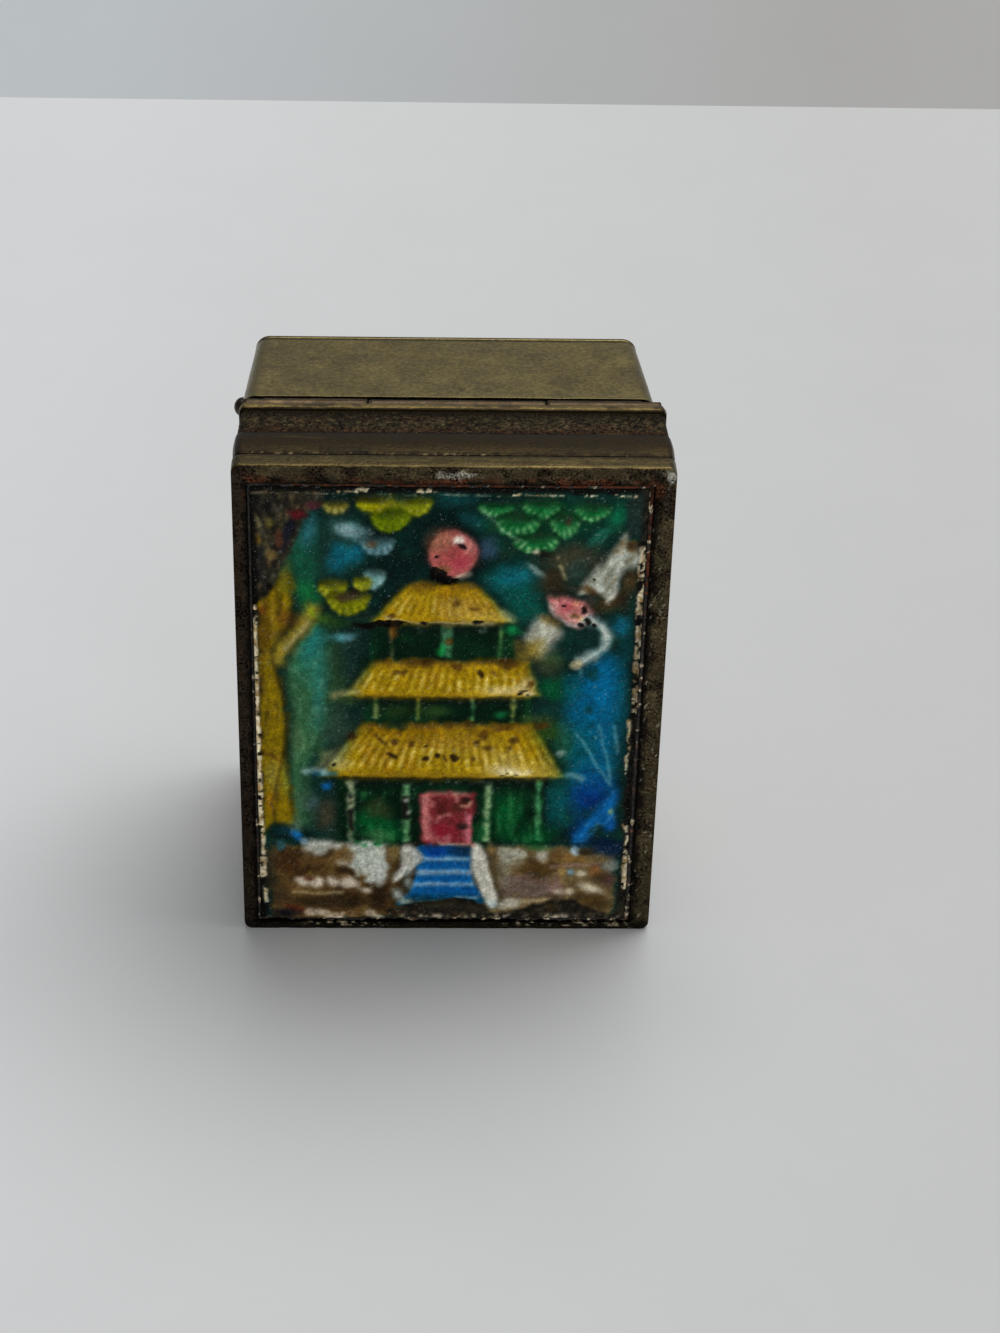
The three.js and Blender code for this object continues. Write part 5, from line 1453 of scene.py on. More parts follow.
def frame_finish(x, y, z, inner):
    """Patina of the face frame, with a painted highlight on its outer edge: inner is 1 at the opening and 0
    at the outline.
    """
    flat, outer = y < 0.1, inner < 0.5
    stain = cloud(x, z, 1.1, 132)
    worn = smooth(-0.3, 0.4, cloud(x + z, y, 2.4, 139)) * smooth(-16.0, -4.0, x + 0.2 * z)
    rust = smooth(0.5, 0.75, inner + 0.15 * cloud(x, z, 0.6, 129)) * smooth(0.99, 0.9, inner)
    rust = rust * smooth(46.0, 48.0, z)
    scuff = (np.hypot((x - 0.3) / 1.7, (z - 49.15) / 0.42) - 1.0) + 0.8 * cloud(x, z * 2.0, 0.6, 137)
    smear = np.hypot((x - 18.5) / 0.75, (z - 49.3) / 0.7) - 1.0 + 0.6 * cloud(x, z, 0.5, 138)
    grit = smooth(0.5, 0.65, cloud(x, z, 0.3, 140)) * smooth(15.5, 17.4, x)
    right = smooth(4.0, 7.0, x) * smooth(17.4, 16.4, x)
    left = smooth(-5.0, -6.5, x) * smooth(-14.0, -12.0, x)
    crumbs = smooth(0.2, 0.4, cloud(x, z, 0.42, 141)) * smooth(0.25, 0.6, inner) * smooth(1.6, 1.0, z)
    crumbs = crumbs * np.maximum(right, left)
    colours = coats(
        tint(FACE_BRASS, x.shape),
        ((30, 24, 18), 0.8 * flat * smooth(-0.1, 0.5, stain + 0.5 * cloud(x, z, 4.0, 130))),
        ((86, 76, 54), 0.6 * flat * smooth(0.15, 0.6, cloud(x, z, 0.7, 133))),
        ((28, 22, 18), 0.65 * flat * smooth(-16.5, -18.0, x)),
        (FILLET_BRASS, ~flat * outer),
        ((98, 84, 50), 0.6 * (y > 0.1) * outer * smooth(0.1, 0.6, cloud(x + z, y * 9.0, 3.0, 134))),
        # worn brass with a painted highlight along the front outer edge, strongest on the right; worn is its
        # mask
        ((128, 110, 70), (0.05 + 0.6 * worn) * (inner < 0.08) * smooth(0.5, 0.1, y)),
        (BLACK, 0.9 * smooth(0.55, 0.97, inner + 0.3 * cloud(x, z, 0.8, 135))),
        (RUST, 0.7 * rust * smooth(-0.3, 0.3, cloud(x, z, 1.3, 136))),
        (SOLDER, 0.6 * flat * smooth(0.1, -0.4, scuff)),
        (SOLDER, 0.8 * smooth(0.2, -0.3, smear)),
        ((18, 16, 12), 0.7 * flat * smooth(1.5, 0.3, z)),
        ((150, 146, 128), 0.6 * flat * grit),
        (CREAM, 0.75 * crumbs),
    )
    return colours, 0.46 + 0.14 * flat + 0.1 * stain


def moulding_section():
    """Inset from the lid's outline and depth behind its face, round one moulding's section."""
    cove_foot = BAND_INSET + COVE_DEPTH * 0.35
    cove_back = BAND_INSET + COVE_DEPTH
    rim_lead = RIM_INSET + RIM_EASE / 4
    rim_back = RIM_INSET + RIM_EASE
    stretches = (
        ((QUIRK, FRAME_T + QUIRK), (BAND_LEAD, FRAME_T + QUIRK_RISE), 4),
        ((-BAND_SWELL, (FRAME_T + BAND_END) / 2), (BAND_INSET, BAND_END), 16),
        ((mix(BAND_INSET, cove_foot, 0.7), BAND_END), (cove_foot, BAND_END + COVE_STEP), 3),
        ((cove_back - COVE_BOW, (BAND_END + COVE_END) / 2), (cove_back, COVE_END), 26),
        ((rim_lead, COVE_END), (rim_lead, COVE_END + RIM_STEP), 3),
        ((RIM_INSET - RIM_SWELL, (COVE_END + LID_DEPTH) / 2), (rim_back, LID_DEPTH - 0.06), 8),
        ((rim_back, LID_DEPTH), (rim_back + 0.12, LID_DEPTH), 3),
        ((LID_WALL - 0.2, LID_DEPTH), (LID_WALL, LID_DEPTH), 2),
        ((LID_WALL, (FRAME_T + LID_DEPTH) / 2), (LID_WALL, FRAME_T), 6),
    )
    section = [(QUIRK, FRAME_T)]
    for control, end, steps in stretches:
        section += bow(section[-1], control, end, steps)
    return np.array(section)


def bow(start, control, end, steps):
    """Points along a curve, without its start."""
    a, b, c = np.array(start), np.array(control), np.array(end)
    shares = [k / steps for k in range(1, steps + 1)]
    return [tuple(a * (1 - t) ** 2 + 2 * b * t * (1 - t) + c * t * t) for t in shares]


def make_moulding(name, half, place, seed, material):
    """A mitred strip: smooth band, rough pitted band and bright rim."""
    section = moulding_section()
    rows, columns = len(section), MOULDING_STEPS + 1
    d = section[:, 0][:, None] * np.ones(columns)
    s = section[:, 1][:, None] * np.ones(columns)
    run, d = round_ends(np.linspace(-1.0, 1.0, columns)[None, :], half, d)
    outside = d < LID_WALL - 0.3
    rough_zone = smooth(BAND_END + 0.05, BAND_END + 0.3, s) * smooth(COVE_END, COVE_END - 0.15, s)
    rough_zone = rough_zone * outside
    pit = smooth(0.25, 0.55, cloud(run, s, 0.55, seed)) * smooth(BAND_END + 1.8, BAND_END + 0.2, s)
    coarse = 0.05 * cloud(run, s, 0.35, seed + 1) + 0.035 * np.abs(cloud(run, s, 0.8, seed + 2))
    d = d + rough_zone * (coarse + 0.09 * pit)
    d = d + outside * 0.02 * cloud(run, s, 6.0, seed + 3)
    colours, rough = moulding_finish(run, s, rough_zone, pit, outside, seed)
    faces = quad_faces(rows, columns, True, False)
    faces.append([i * columns for i in range(rows)])
    faces.append([i * columns + MOULDING_STEPS for i in range(rows)][::-1])
    return make_piece(name, place(run, d, FACE_Y + s), faces, colours, rough, material)


def round_ends(along, half, d):
    """Places along a strip and insets from its outline, with its two corners rounded up to the mitres."""
    radius = FRAME_CORNER_R
    straight = half - radius
    reach = np.abs(along) * (straight + radius * math.pi / 4)
    turn = np.maximum(reach - straight, 0.0) / radius
    arm = radius - d
    run = np.where(arm > 0.0, np.minimum(reach, straight) + arm * np.sin(turn),
                   np.abs(along) * (half - d))
    inset = np.where(arm > 0.0, radius - arm * np.cos(turn), d)
    return np.sign(along) * run, inset


def moulding_finish(run, s, rough_zone, pit, outside, seed):
    """Patina of a moulding: dark band with a dirty quirk, brown gritty cove, painted shade along the crease
    and next to the rim, bright rim with stains.
    """
    quirk = smooth(FRAME_T + 0.9, FRAME_T + 0.35, s + 0.35 * cloud(run, s, 0.7, seed + 5))
    grit = cloud(run, s, 0.32, seed + 6)
    # painted shadow in the cove next to the proud rim
    shade = smooth(COVE_END - 1.8, COVE_END - 0.1, s) * outside
    # painted shade along the crease where the smooth band steps over the rough one
    from_crease = s - BAND_END - 0.15 - 0.12 * cloud(run, s, 0.6, seed + 10)
    crease_shade = np.exp(-((from_crease / 0.2) ** 2)) * outside
    rim = smooth(COVE_END + 0.2, COVE_END + 0.35, s + 0.08 * cloud(run, s, 1.2, seed + 11)) * outside
    colours = coats(
        tint(BAND_BRASS, run.shape),
        ((62, 52, 31), 0.75 * smooth(FRAME_T + 2.6, FRAME_T + 0.7, s)),
        ((40, 33, 20), 0.7 * smooth(0.1, 0.6, cloud(run * 0.35, s, 1.6, seed + 4))),
        ((20, 16, 10), 0.85 * quirk),
        ((120, 106, 74), 0.6 * quirk * smooth(0.35, 0.55, cloud(run, s, 0.4, seed + 12))),
        (ROUGH_BRASS, rough_zone),
        ((20, 16, 9), rough_zone * 0.85 * smooth(-0.05, 0.4, grit)),
        ((104, 92, 64), rough_zone * 0.45 * smooth(0.2, 0.6, -grit)),
        ((48, 31, 19), rough_zone * 0.5 * smooth(0.15, 0.5, cloud(run, s, 1.3, seed + 9))),
        ((56, 35, 21), rough_zone * 0.6 * smooth(BAND_END + 1.6, BAND_END + 0.5, s + 0.6 * grit)),
        (BLACK, 0.7 * pit * rough_zone),
        ((20, 16, 9), 0.75 * shade),
        ((14, 11, 7), 0.9 * crease_shade),
        (RIM_BRASS, rim),
        ((64, 52, 32), 0.75 * rim * smooth(-0.1, 0.5, cloud(run, s, 1.4, seed + 7))),
    )
    return colours, 0.4 + 0.25 * rough_zone + 0.05 * cloud(run, s, 1.2, seed + 8) + 0.1 * ~outside


def hinge_side(run, d, y):
    """Points of the hinge moulding from places along it, insets and depths."""
    return np.stack([MID_X + run, y, FACE_HIGH[2] - d], -1)


def front_side(run, d, y):
    """Points of the front moulding from places along it, insets and depths."""
    return np.stack([MID_X + run, y, FACE_LOW[2] + d], -1)


def left_side(run, d, y):
    """Points of the left moulding from places along it, insets and depths."""
    return np.stack([FACE_LOW[0] + d, y, MID_Z + run], -1)


def right_side(run, d, y):
    """Points of the right moulding from places along it, insets and depths."""
    return np.stack([FACE_HIGH[0] - d, y, MID_Z + run], -1)


def body_inset(y):
    """How far the body has drawn in at depth y."""
    return BODY_DRAFT * (y - BODY_LOW[1]) / (BASE_LOW[1] - BODY_LOW[1])


def body_path(y, inset, radius):
    """The wall's outline at depth y; its outer face sits to the left of the lid and flares at the joint."""
    pull = body_inset(y) + inset
    skew = 0.0 if inset else BODY_SKEW
    flare = 0.0 if inset else BODY_FLARE * (1.0 - body_inset(y) / BODY_DRAFT)
    left = BODY_LOW[0] + pull + skew - 0.5 * flare
    right = BODY_HIGH[0] - pull + skew + 1.2 * flare
    return rectangle_path(left, right, BODY_LOW[2] + pull, BODY_HIGH[2] - pull, max(radius, 0.3),
                          *BODY_STEPS)


def body_rings(depths, notch_z):
    """Rings down the outside of the wall and up its inside, cut back for the barrel above notch_z."""
    top, foot = BODY_LOW[1], BODY_HIGH[1]
    notch_y = HINGE_Y + BARREL_R + HINGE_GAP
    rings = []
    for inset, shares in ((0.0, depths), (BODY_WALL, depths[::-1])):
        for share in shares:
            path = body_path(mix(top, foot, share), inset, BODY_CORNER_R - inset)
            cut = notch_y + 0.05 * cloud(path[:, 0], path[:, 1], 1.6, 141)
            rings.append(ring(path, mix(np.where(path[:, 1] > notch_z, cut, top), foot, share)))
    return np.array(rings)


def make_body(material):
    """The folded wall: cut back along the hinge for the barrel, a little uneven as hand work is."""
    notch_z = HINGE_Z - BARREL_R - NOTCH_CLEAR
    side_x, side_z = 17.0, 23.0
    lead = [0.0, 0.012, 0.05]
    depths = lead + [0.05 + 0.95 * (k / WALL_STEPS) for k in range(1, WALL_STEPS + 1)]
    points = body_rings(depths, notch_z)
    x, y, z = points[..., 0] - MID_X, points[..., 1], points[..., 2]
    wave = 0.05 * np.abs(cloud(x + y, z + y, 7.0, 142))
    outer = np.zeros(points.shape[:2])
    outer[: len(depths)] = 1.0
    points[..., 0] -= np.sign(x) * wave * outer * (np.abs(x) > side_x)
    points[..., 2] -= np.sign(z - MID_Z) * wave * outer * (np.abs(z - MID_Z) > side_z)
    rim = np.zeros(points.shape[:2])
    rim[:1] = rim[-1:] = 1.0
    colours, rough = wall_finish(x, y, z)
    # black on the cut edge along the hinge is painted shade in the gap behind the barrel
    colours = coats(colours, ((52, 44, 28), 0.5 * rim), (BLACK, 0.95 * rim * (z > notch_z)))
    faces = quad_faces(*points.shape[:2], True, True)
    return make_piece("folded_body_wall", points, faces, colours, rough, material)


def wall_finish(x, y, z):
    """Olive patina with darker drifts, pale rubs and a darker seam at the base."""
    u, v = x + 0.7 * z, y + 0.4 * z
    colours = coats(
        tint(WALL_BRASS, x.shape),
        ((108, 96, 60), 0.45 * smooth(0.0, 0.7, cloud(u, v, 6.0, 143))),
        ((132, 118, 78), 0.4 * smooth(0.15, 0.7, cloud(u, v, 4.0, 144))),
        ((80, 70, 42), 0.4 * smooth(0.4, 0.7, cloud(u, v, 0.9, 145))),
        ((60, 50, 30), 0.7 * np.exp(-(((y - BODY_HIGH[1]) / 0.18) ** 2))),
    )
    return colours, 0.36 + 0.08 * cloud(u, v, 2.0, 146)


def base_stations():
    """Inset and depth of each ring: out over the inside of the base, round its rolled edge and in again."""
    edge_steps, flat_steps = 6, 46
    thick = BASE_HIGH[1] - BASE_LOW[1]
    edge = min(BASE_EDGE_R, thick)
    stations = [(0.0, 0.0), (0.0, 0.3)]
    for k in range(1, edge_steps + 1):
        angle = math.pi / 2 * k / edge_steps
        stations.append((edge * (1 - math.cos(angle)), thick - edge * (1 - math.sin(angle))))
    stations += [(mix(edge, BASE_REACH, k / flat_steps), thick) for k in range(1, flat_steps + 1)]
    return [(inset, 0.0) for inset, _ in stations[::-1] if inset > edge] + stations


def make_base(material):
    """The base plate: rolled edge, flat middle with shallow hand-flattened dents."""
    stations = base_stations()
    rings = []
    for inset, depth in stations:
        pull = BODY_DRAFT + inset
        left, right = BODY_LOW[0] + pull + BODY_SKEW, BODY_HIGH[0] - pull + BODY_SKEW
        path = rectangle_path(left, right, BODY_LOW[2] + pull, BODY_HIGH[2] - pull,
                              max(BODY_CORNER_R - inset, 0.2), *BODY_STEPS)
        rings.append(ring(path, BASE_LOW[1] + depth))
    points = np.array(rings)
    x, y, z = points[..., 0] - MID_X, points[..., 1], points[..., 2]
    back = y > BASE_HIGH[1] - 0.02
    insets = np.array([s[0] for s in stations])
    middle = smooth(15.4, 16.8, insets)[:, None] * np.ones(points.shape[1])
    points[..., 1] -= back * (1.0 - middle) * 0.07 * np.abs(cloud(x, z, 6.0, 151))
    rolled = (y > BASE_LOW[1] + 0.1) & ~back
    from_edge = np.minimum(17.6 - np.abs(x), 23.6 - np.abs(z - MID_Z))
    rub = back * smooth(3.6, 2.0, from_edge)
    colours, rough = wall_finish(x, y + 0.3 * z, z)
    colours = coats(
        colours,
        ((74, 62, 40), 0.55 * back * smooth(0.1, 0.6, cloud(x, z, 4.0, 152))),
        # the rolled edge is painted darker, painted shade that dulls its highlight
        ((72, 63, 40), 0.8 * rolled),
        ((136, 120, 80), 0.4 * rub * smooth(-0.4, 0.4, cloud(x, z, 1.5, 153))),
        (WALL_BRASS, middle),
    )
    faces = capped_faces(*points.shape[:2])
    return make_piece("rolled_base_plate", points, faces, colours, rough + 0.1 * rolled, material)


def hinge_ring(x, y, z):
    """A ring round the hinge's axis at x, from offsets in y and z."""
    return np.stack([np.full(len(y), x), HINGE_Y + y, HINGE_Z + z], -1)


def barrel_rings(left, right, seed):
    """Rings along a rolled barrel, each once round its outside and back round its bore."""
    places, turns = BARREL_STEPS
    ends = np.linspace(left, right, places)
    turn = np.linspace(0.0, 2 * math.pi, turns + 1)[:-1]
    inner = np.stack([BORE_R * np.cos(turn[::-1]), BORE_R * np.sin(turn[::-1])], -1)
    seam = SEAM_DEPTH * np.exp(-(((turn - SEAM_TURN) / SEAM_HALF) ** 2))
    rings = []
    for x in ends:
        ease = BARREL_EASE if x in (ends[0], ends[-1]) else 0.0
        wobble = 0.025 * cloud(np.full(turn.shape, x), 4.0 * np.cos(turn), 1.2, seed)
        radius = BARREL_R - ease - seam - np.abs(wobble)
        outer = np.stack([radius * np.cos(turn), radius * np.sin(turn)], -1)
        rings.append(hinge_ring(x, *np.concatenate([outer, inner]).T))
    return np.array(rings)


def make_knuckle(name, node, to_body, seed, material):
    """A rolled barrel, sheet wrapped round the pin with a seam along it, and the leaf that carries it."""
    low, high = corner_box(node)
    points = barrel_rings(low[0], high[0], seed)
    x, _, z = np.moveaxis(points, -1, 0)
    from_end = np.minimum(x - low[0], high[0] - x)
    colours = coats(
        tint(BARREL_BRASS, x.shape),
        ((70, 56, 38), 0.7 * smooth(0.1, 0.6, cloud(x, 3 * z, 1.4, seed + 1))),
        ((104, 84, 62), 0.5 * smooth(0.2, 0.7, cloud(x, 3 * z, 2.6, seed + 2))),
        ((30, 24, 16), 0.8 * smooth(0.35, 0.05, from_end)),
    )
    rough = 0.42 + 0.1 * cloud(x, z, 0.9, seed + 3)
    tube = make_piece(name, points, tube_faces(*BARREL_STEPS), colours, rough, material)
    return tube, make_leaf(name + "_leaf", low, high, to_body, material)


def tube_faces(rows, count):
    """Faces of a bored tube: outer and inner walls and the two end rings."""
    width = 2 * count
    faces = []
    for i in range(rows - 1):
        here, there = i * width, (i + 1) * width
        for j in range(count):
            n = (j + 1) % count
            for a, b in ((j, n), (count + j, count + n)):
                faces.append([here + a, here + b, there + b, there + a])
    for row in (0, rows - 1):
        for j in range(count):
            n = (j + 1) % count
            loop = [row * width + k for k in (j, n, width - 1 - n, width - 1 - j)]
            faces.append(loop[::-1] if row else loop)
    return faces


def make_leaf(name, low, high, to_body, material):
    """The strip that carries a barrel, with rounded edges."""
    inset = 1.4 if to_body else 0.1
    y0, y1 = (HINGE_Y + LEAF_LEAD, high[1]) if to_body else (low[1], HINGE_Y - LEAF_LEAD)
    middle = HINGE_Z - 0.05 if to_body else FACE_HIGH[2] - LID_WALL + 0.1 + LEAF_T / 2
    section = rectangle_path(y0, y1, middle - LEAF_T / 2, middle + LEAF_T / 2, LEAF_EDGE_R, 6, 3, 3)
    left, right = max(low[0], BODY_LOW[0] + inset), min(high[0], BODY_HIGH[0] - inset)
    ends = np.linspace(left, right, LEAF_STEPS)
    points = np.stack([np.stack([np.full(len(section), x), *section.T], -1) for x in ends])
    x, y, _ = np.moveaxis(points, -1, 0)
    stain = 0.7 * smooth(-0.2, 0.5, cloud(x, y, 1.2, 161))
    colours = cover(tint(BARREL_BRASS, x.shape), (40, 32, 22), stain)
    return make_piece(name, points, capped_faces(*x.shape), colours, np.full(x.shape, 0.5), material)


def pin_profile():
    """Places along the hinge and radii, from the pin's round head to its peened end."""
    left, steps = PIN_LOW[0] + PIN_HEAD_T, 20
    head_turns = np.linspace(0.02, math.pi / 2, 12)
    peen_turns = np.linspace(0.1, math.pi / 2 - 0.02, 8)
    profile = [(left - PIN_HEAD_T * math.cos(a), PIN_HEAD_R * math.sin(a)) for a in head_turns]
    profile += [(left + 0.02, PIN_HEAD_R * 0.9), (left + 0.03, PIN_R)]
    profile += [(mix(left, PEEN_X, k / steps), PIN_R) for k in range(1, steps + 1)]
    return profile + [(PEEN_X + PEEN_T * math.sin(a), PIN_R * math.cos(a)) for a in peen_turns]


def make_pin(material):
    """The hinge pin: hammered round head at the left, low peened end at the right."""
    turn = np.linspace(0.0, 2 * math.pi, PIN_TURNS + 1)[:-1]
    around = 2.0 * np.cos(turn) + np.sin(turn)
    rings = []
    for x, r in pin_profile():
        dents = 1.0 - 0.06 * np.abs(cloud(np.full(turn.shape, x * 2.0), around, 0.7, 171))
        rings.append(hinge_ring(x, r * dents * np.cos(turn), r * dents * np.sin(turn)))
    points = np.array(rings)
    x, _, z = np.moveaxis(points, -1, 0)
    colours = coats(
        tint(IRON, x.shape),
        ((84, 66, 46), 0.6 * smooth(0.0, 0.6, cloud(x, z, 0.6, 172))),
        ((200, 196, 184), 0.8 * smooth(PEEN_X, PEEN_X + 0.15, x)),
    )
    faces = capped_faces(*x.shape)
    return make_piece("peened_hinge_pin", points, faces, colours, np.full(x.shape, 0.45), material)


def pitch_rings():
    """Rings over the bed's floor, up its side, over the rough line at its edge and in under the plaque."""
    inner = box_path(PLAQUE_LOW, PLAQUE_HIGH, -PITCH_GAP, 0.1, *PITCH_STEPS)
    outer = box_path(OPEN_LOW, OPEN_HIGH, 0.0, OPENING_R, *PITCH_STEPS)
    deep = box_path(OPEN_LOW, OPEN_HIGH, PITCH_REACH, 0.2, *PITCH_STEPS)
    floor_y, top_y, seat_y = OPEN_HIGH[1], OPEN_LOW[1], PLAQUE_HIGH[1] + PITCH_SEAT
    crest = PITCH_CREST * np.clip(0.4 + cloud(outer[:, 0], outer[:, 1], 0.6, 181), 0, 1)
    levels = [(deep, floor_y), (mix(deep, outer, 0.5), floor_y), (outer, floor_y),
              (outer, (floor_y + top_y) / 2)]
    for t in (0, 0.25, 0.5, 0.75, 1):
        levels.append((mix(outer, inner, t), top_y - crest * math.sin(math.pi * (0.2 + 0.6 * t))))
    levels += [(inner, (top_y + seat_y) / 2), (inner, seat_y), (mix(inner, deep, 0.5), seat_y),
               (deep, seat_y)]
    return np.array([ring(path, y) for path, y in levels])


def make_pitch(material):
    """Setting pitch: the bed under the plaque and the rough line squeezed up round its edge."""
    points = pitch_rings()
    x, _, z = np.moveaxis(points, -1, 0)
    open_side = 0.2 * smooth(15.5, 16.5, x) + 0.15 * smooth(2.0, 1.0, z)
    colours = coats(
        tint(BLACK, x.shape),
        ((60, 44, 28), 0.7 * smooth(0.2, 0.6, cloud(x, z, 0.7, 182))),
        (RUST, 0.6 * smooth(0.3, 0.6, cloud(x, z, 0.8, 184) + open_side)),
        (CREAM, 0.8 * smooth(0.5, 0.65, cloud(x, z, 0.45, 183) + open_side)),
    )
    faces = quad_faces(*x.shape, True, True)
    return make_piece("setting_pitch", points, faces, colours, np.full(x.shape, 0.75), material)


def make_shim(name, node, lengthwise, seed, material):
    """A strip of oxidised copper, ragged at its upper edge."""
    low, high = corner_box(node)
    other = 2 - lengthwise
    section = rectangle_path(low[1], high[1], low[other], high[other], SHIM_EDGE_R, 3, 6, 2)
    ends = np.linspace(low[lengthwise], high[lengthwise], SHIM_STEPS)
    points = np.zeros((len(ends), len(section), 3))
    points[..., lengthwise] = ends[:, None]
    points[..., 1] = section[:, 0]
    points[..., other] = section[:, 1]
    upper = points[..., 1] < low[1] + 0.15
    worn = np.clip(cloud(ends, 0 * ends, 0.9, seed) + 0.2, 0, 1)[:, None]
    points[..., 1] += upper * SHIM_RAGGED * worn
    x, y, z = np.moveaxis(points, -1, 0)
    colours = coats(
        tint(RUST, x.shape),
        ((34, 20, 14), 0.8 * smooth(-0.1, 0.5, cloud(x + z, y, 0.9, seed + 1))),
        ((118, 66, 42), 0.6 * smooth(0.25, 0.6, cloud(x + z, y, 1.7, seed + 2))),
    )
    return make_piece(name, points, capped_faces(*x.shape), colours, np.full(x.shape, 0.55), material)


# The stage, light and camera

# the right-hand colours are darker, painted shade for the light's fall-off across the stage
FLOOR_LEFT, FLOOR_RIGHT = (208, 209, 210), (193, 194, 193)
WALL_LEFT, WALL_RIGHT = (190, 195, 198), (168, 167, 165)
WALL_Y = 0.182
WALL_DEPTH, WALL_HEIGHT = 0.08, 0.045
FLOOR_REACH = 1.6
IMAGE_WIDTH, IMAGE_HEIGHT = 1000, 1333
FOCAL_PX = 2965.0
SENSOR = 36.0
VIEW_AZIMUTH, VIEW_DOWN, VIEW_ROLL = 2.314, 33.755, 1.61
VIEW_DISTANCE = 0.262715
VIEW_AIM = Vector((0.0044579, -0.0133, 0.0296918))


def add_sheet(name, profile, material):
    """A wide sheet drawn along X from a side profile of depths and heights."""
    verts = [(side * FLOOR_REACH, y, z) for y, z in profile for side in (-1, 1)]
    faces = [(2 * k, 2 * k + 1, 2 * k + 3, 2 * k + 2) for k in range(len(profile) - 1)]
    mesh = bpy.data.meshes.new(name)
    mesh.from_pydata(verts, [], faces)
    mesh.shade_smooth()
    mesh.materials.append(material)
    sheet = bpy.data.objects.new(name, mesh)
    bpy.context.scene.collection.objects.link(sheet)


def add_floor():
    """Floor, and the low backdrop that slopes up behind it."""
    floor = [(-FLOOR_REACH, 0.0), (-0.4, 0.0), (WALL_Y, 0.0)]
    slope = [(WALL_Y, 0.0), (WALL_Y + WALL_DEPTH / 2, WALL_HEIGHT / 2),
             (WALL_Y + WALL_DEPTH, WALL_HEIGHT)]
    add_sheet("pale_floor", floor, paper_material("floor_paper", FLOOR_LEFT, FLOOR_RIGHT))
    add_sheet("pale_backdrop", slope, paper_material("backdrop_paper", WALL_LEFT, WALL_RIGHT))


def add_lamp(name, at, aim, width, depth, power):
    """A rectangular lamp that looks at a point."""
    data = bpy.data.lights.new(name, "AREA")
    data.shape = "RECTANGLE"
    data.size, data.size_y, data.energy = width, depth, power
    lamp = bpy.data.objects.new(name, data)
    lamp.location = at
    lamp.rotation_euler = (Vector(aim) - Vector(at)).to_track_quat("-Z", "Y").to_euler()
    bpy.context.scene.collection.objects.link(lamp)


def add_light():
    """An even room, a large lamp overhead and a weak one low in front."""
    world = bpy.data.worlds.new("soft_room")
    world.use_nodes = True
    sky = world.node_tree.nodes["Background"]
    sky.inputs["Color"].default_value = (0.98, 0.99, 1.0, 1.0)
    sky.inputs["Strength"].default_value = 0.28
    bpy.context.scene.world = world
    add_lamp("overhead", (0.25, 0.32, 1.0), (0.0, 0.0, 0.02), width=0.9, depth=0.7, power=10.0)
    add_lamp("front_fill", (0.05, -0.6, 0.09), (0.0, 0.0, 0.025), width=0.4, depth=0.12, power=1.25)


def add_camera():
    """The photograph's view, fitted to the lid's face and the body's edges."""
    data = bpy.data.cameras.new("photo_view")
    data.sensor_width = SENSOR
    data.lens = FOCAL_PX * SENSOR / max(IMAGE_WIDTH, IMAGE_HEIGHT)
    data.clip_start = 0.01
    azimuth, down = math.radians(VIEW_AZIMUTH), math.radians(VIEW_DOWN)
    forward = Vector((math.sin(azimuth) * math.cos(down), math.cos(azimuth) * math.cos(down),
                      -math.sin(down)))
    turn = forward.to_track_quat("-Z", "Y").to_matrix().to_4x4()
    camera = bpy.data.objects.new("photo_view", data)
    camera.matrix_world = (Matrix.Translation(VIEW_AIM - VIEW_DISTANCE * forward) @ turn
                           @ Matrix.Rotation(math.radians(VIEW_ROLL), 4, "Z"))
    bpy.context.scene.collection.objects.link(camera)
    bpy.context.scene.camera = camera


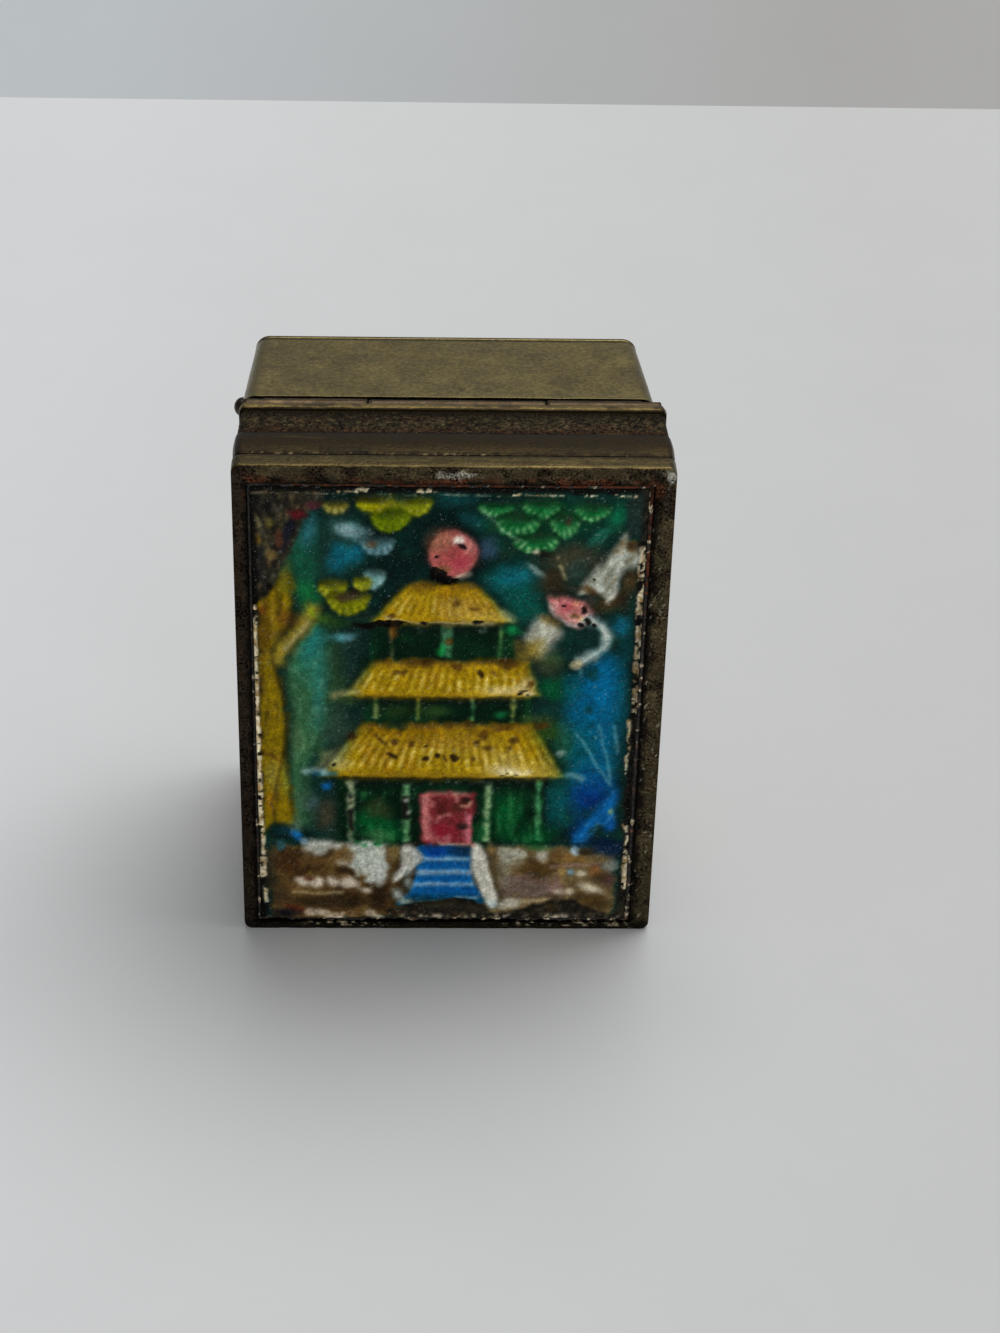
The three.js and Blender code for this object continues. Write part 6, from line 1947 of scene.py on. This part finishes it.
def build_lid():
    """Dresses what turns with the lid; the hidden plate keeps the frame's own solid."""
    dark = painted_metal("dark_brass", 1.0, mottle=0.16, scratch=0.25, bump=0.00005)
    worn = painted_metal("worn_brass", 1.0, mottle=0.3, scratch=0.3, bump=0.00007)
    copper = painted_metal("oxidised_copper", 0.9, mottle=0.2, scratch=0.1, bump=0.00004)
    pitch = painted_metal("black_pitch", 0.0, mottle=0.25, scratch=0.0, bump=0.00008)
    inner = plain_metal("lid_inner_brass", (52, 44, 28), (92, 78, 50), roughness=0.5, bump=0.00005)
    dress(make_plaque(enamel_material()), "lid", "enamel", "enamel_plaque")
    dress(make_face_frame(worn), "lid", "worn_brass", "face_frame")
    half_w, half_l = (FACE_HIGH[0] - FACE_LOW[0]) / 2, (FACE_HIGH[2] - FACE_LOW[2]) / 2
    sides = (("hinge", half_w, hinge_side), ("front", half_w, front_side),
             ("left", half_l, left_side), ("right", half_l, right_side))
    for k, (side, half, place) in enumerate(sides):
        strip = make_moulding("moulding_" + side, half, place, 200 + 20 * k, dark)
        dress(strip, "lid", "dark_brass", "lid_moulding_" + side)
    dress(make_pitch(pitch), "lid", "pitch", "pitch_bed")
    for side, lengthwise, seed in (("hinge", 0, 301), ("right", 2, 305)):
        node = "copper_shim_" + side
        dress(make_shim("copper_strip_" + side, node, lengthwise, seed, copper), "lid", "copper", node)
    frame["nodes"]["lid_plate"].data.materials[0] = inner


def build_case():
    """Dresses the wall and the base; the hidden lip keeps the frame's own solid."""
    patina = painted_metal("patina_brass", 1.0, mottle=0.1, scratch=0.22, bump=0.00003)
    dress(make_body(patina), "case", "patina_brass", "body_band")
    dress(make_base(patina), "case", "patina_brass", "base_plate")
    lip = plain_metal("lip_brass", (78, 66, 42), (128, 112, 76), roughness=0.4, bump=0.00004)
    frame["nodes"]["closing_lip"].data.materials[0] = lip


def build_hinge():
    """Dresses the knuckles with their leaves, and the pin."""
    barrel = painted_metal("hinge_brass", 1.0, mottle=0.14, scratch=0.2, bump=0.00004)
    iron = painted_metal("pin_iron", 0.9, mottle=0.2, scratch=0.1, bump=0.00005)
    knuckles = (("left", "case", True), ("right", "case", True), ("centre", "lid", False))
    for k, (side, body, to_body) in enumerate(knuckles):
        node = "hinge_knuckle_" + side
        tube, leaf = make_knuckle("rolled_knuckle_" + side, node, to_body, 320 + 10 * k, barrel)
        dress(tube, body, "hinge_brass", node)
        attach(leaf, body)
    dress(make_pin(iron), "case", "pin_iron", "hinge_pin")


add_camera()
add_floor()
add_light()
build_lid()
build_case()
build_hinge()

bpy.context.scene.view_settings.view_transform = "Standard"
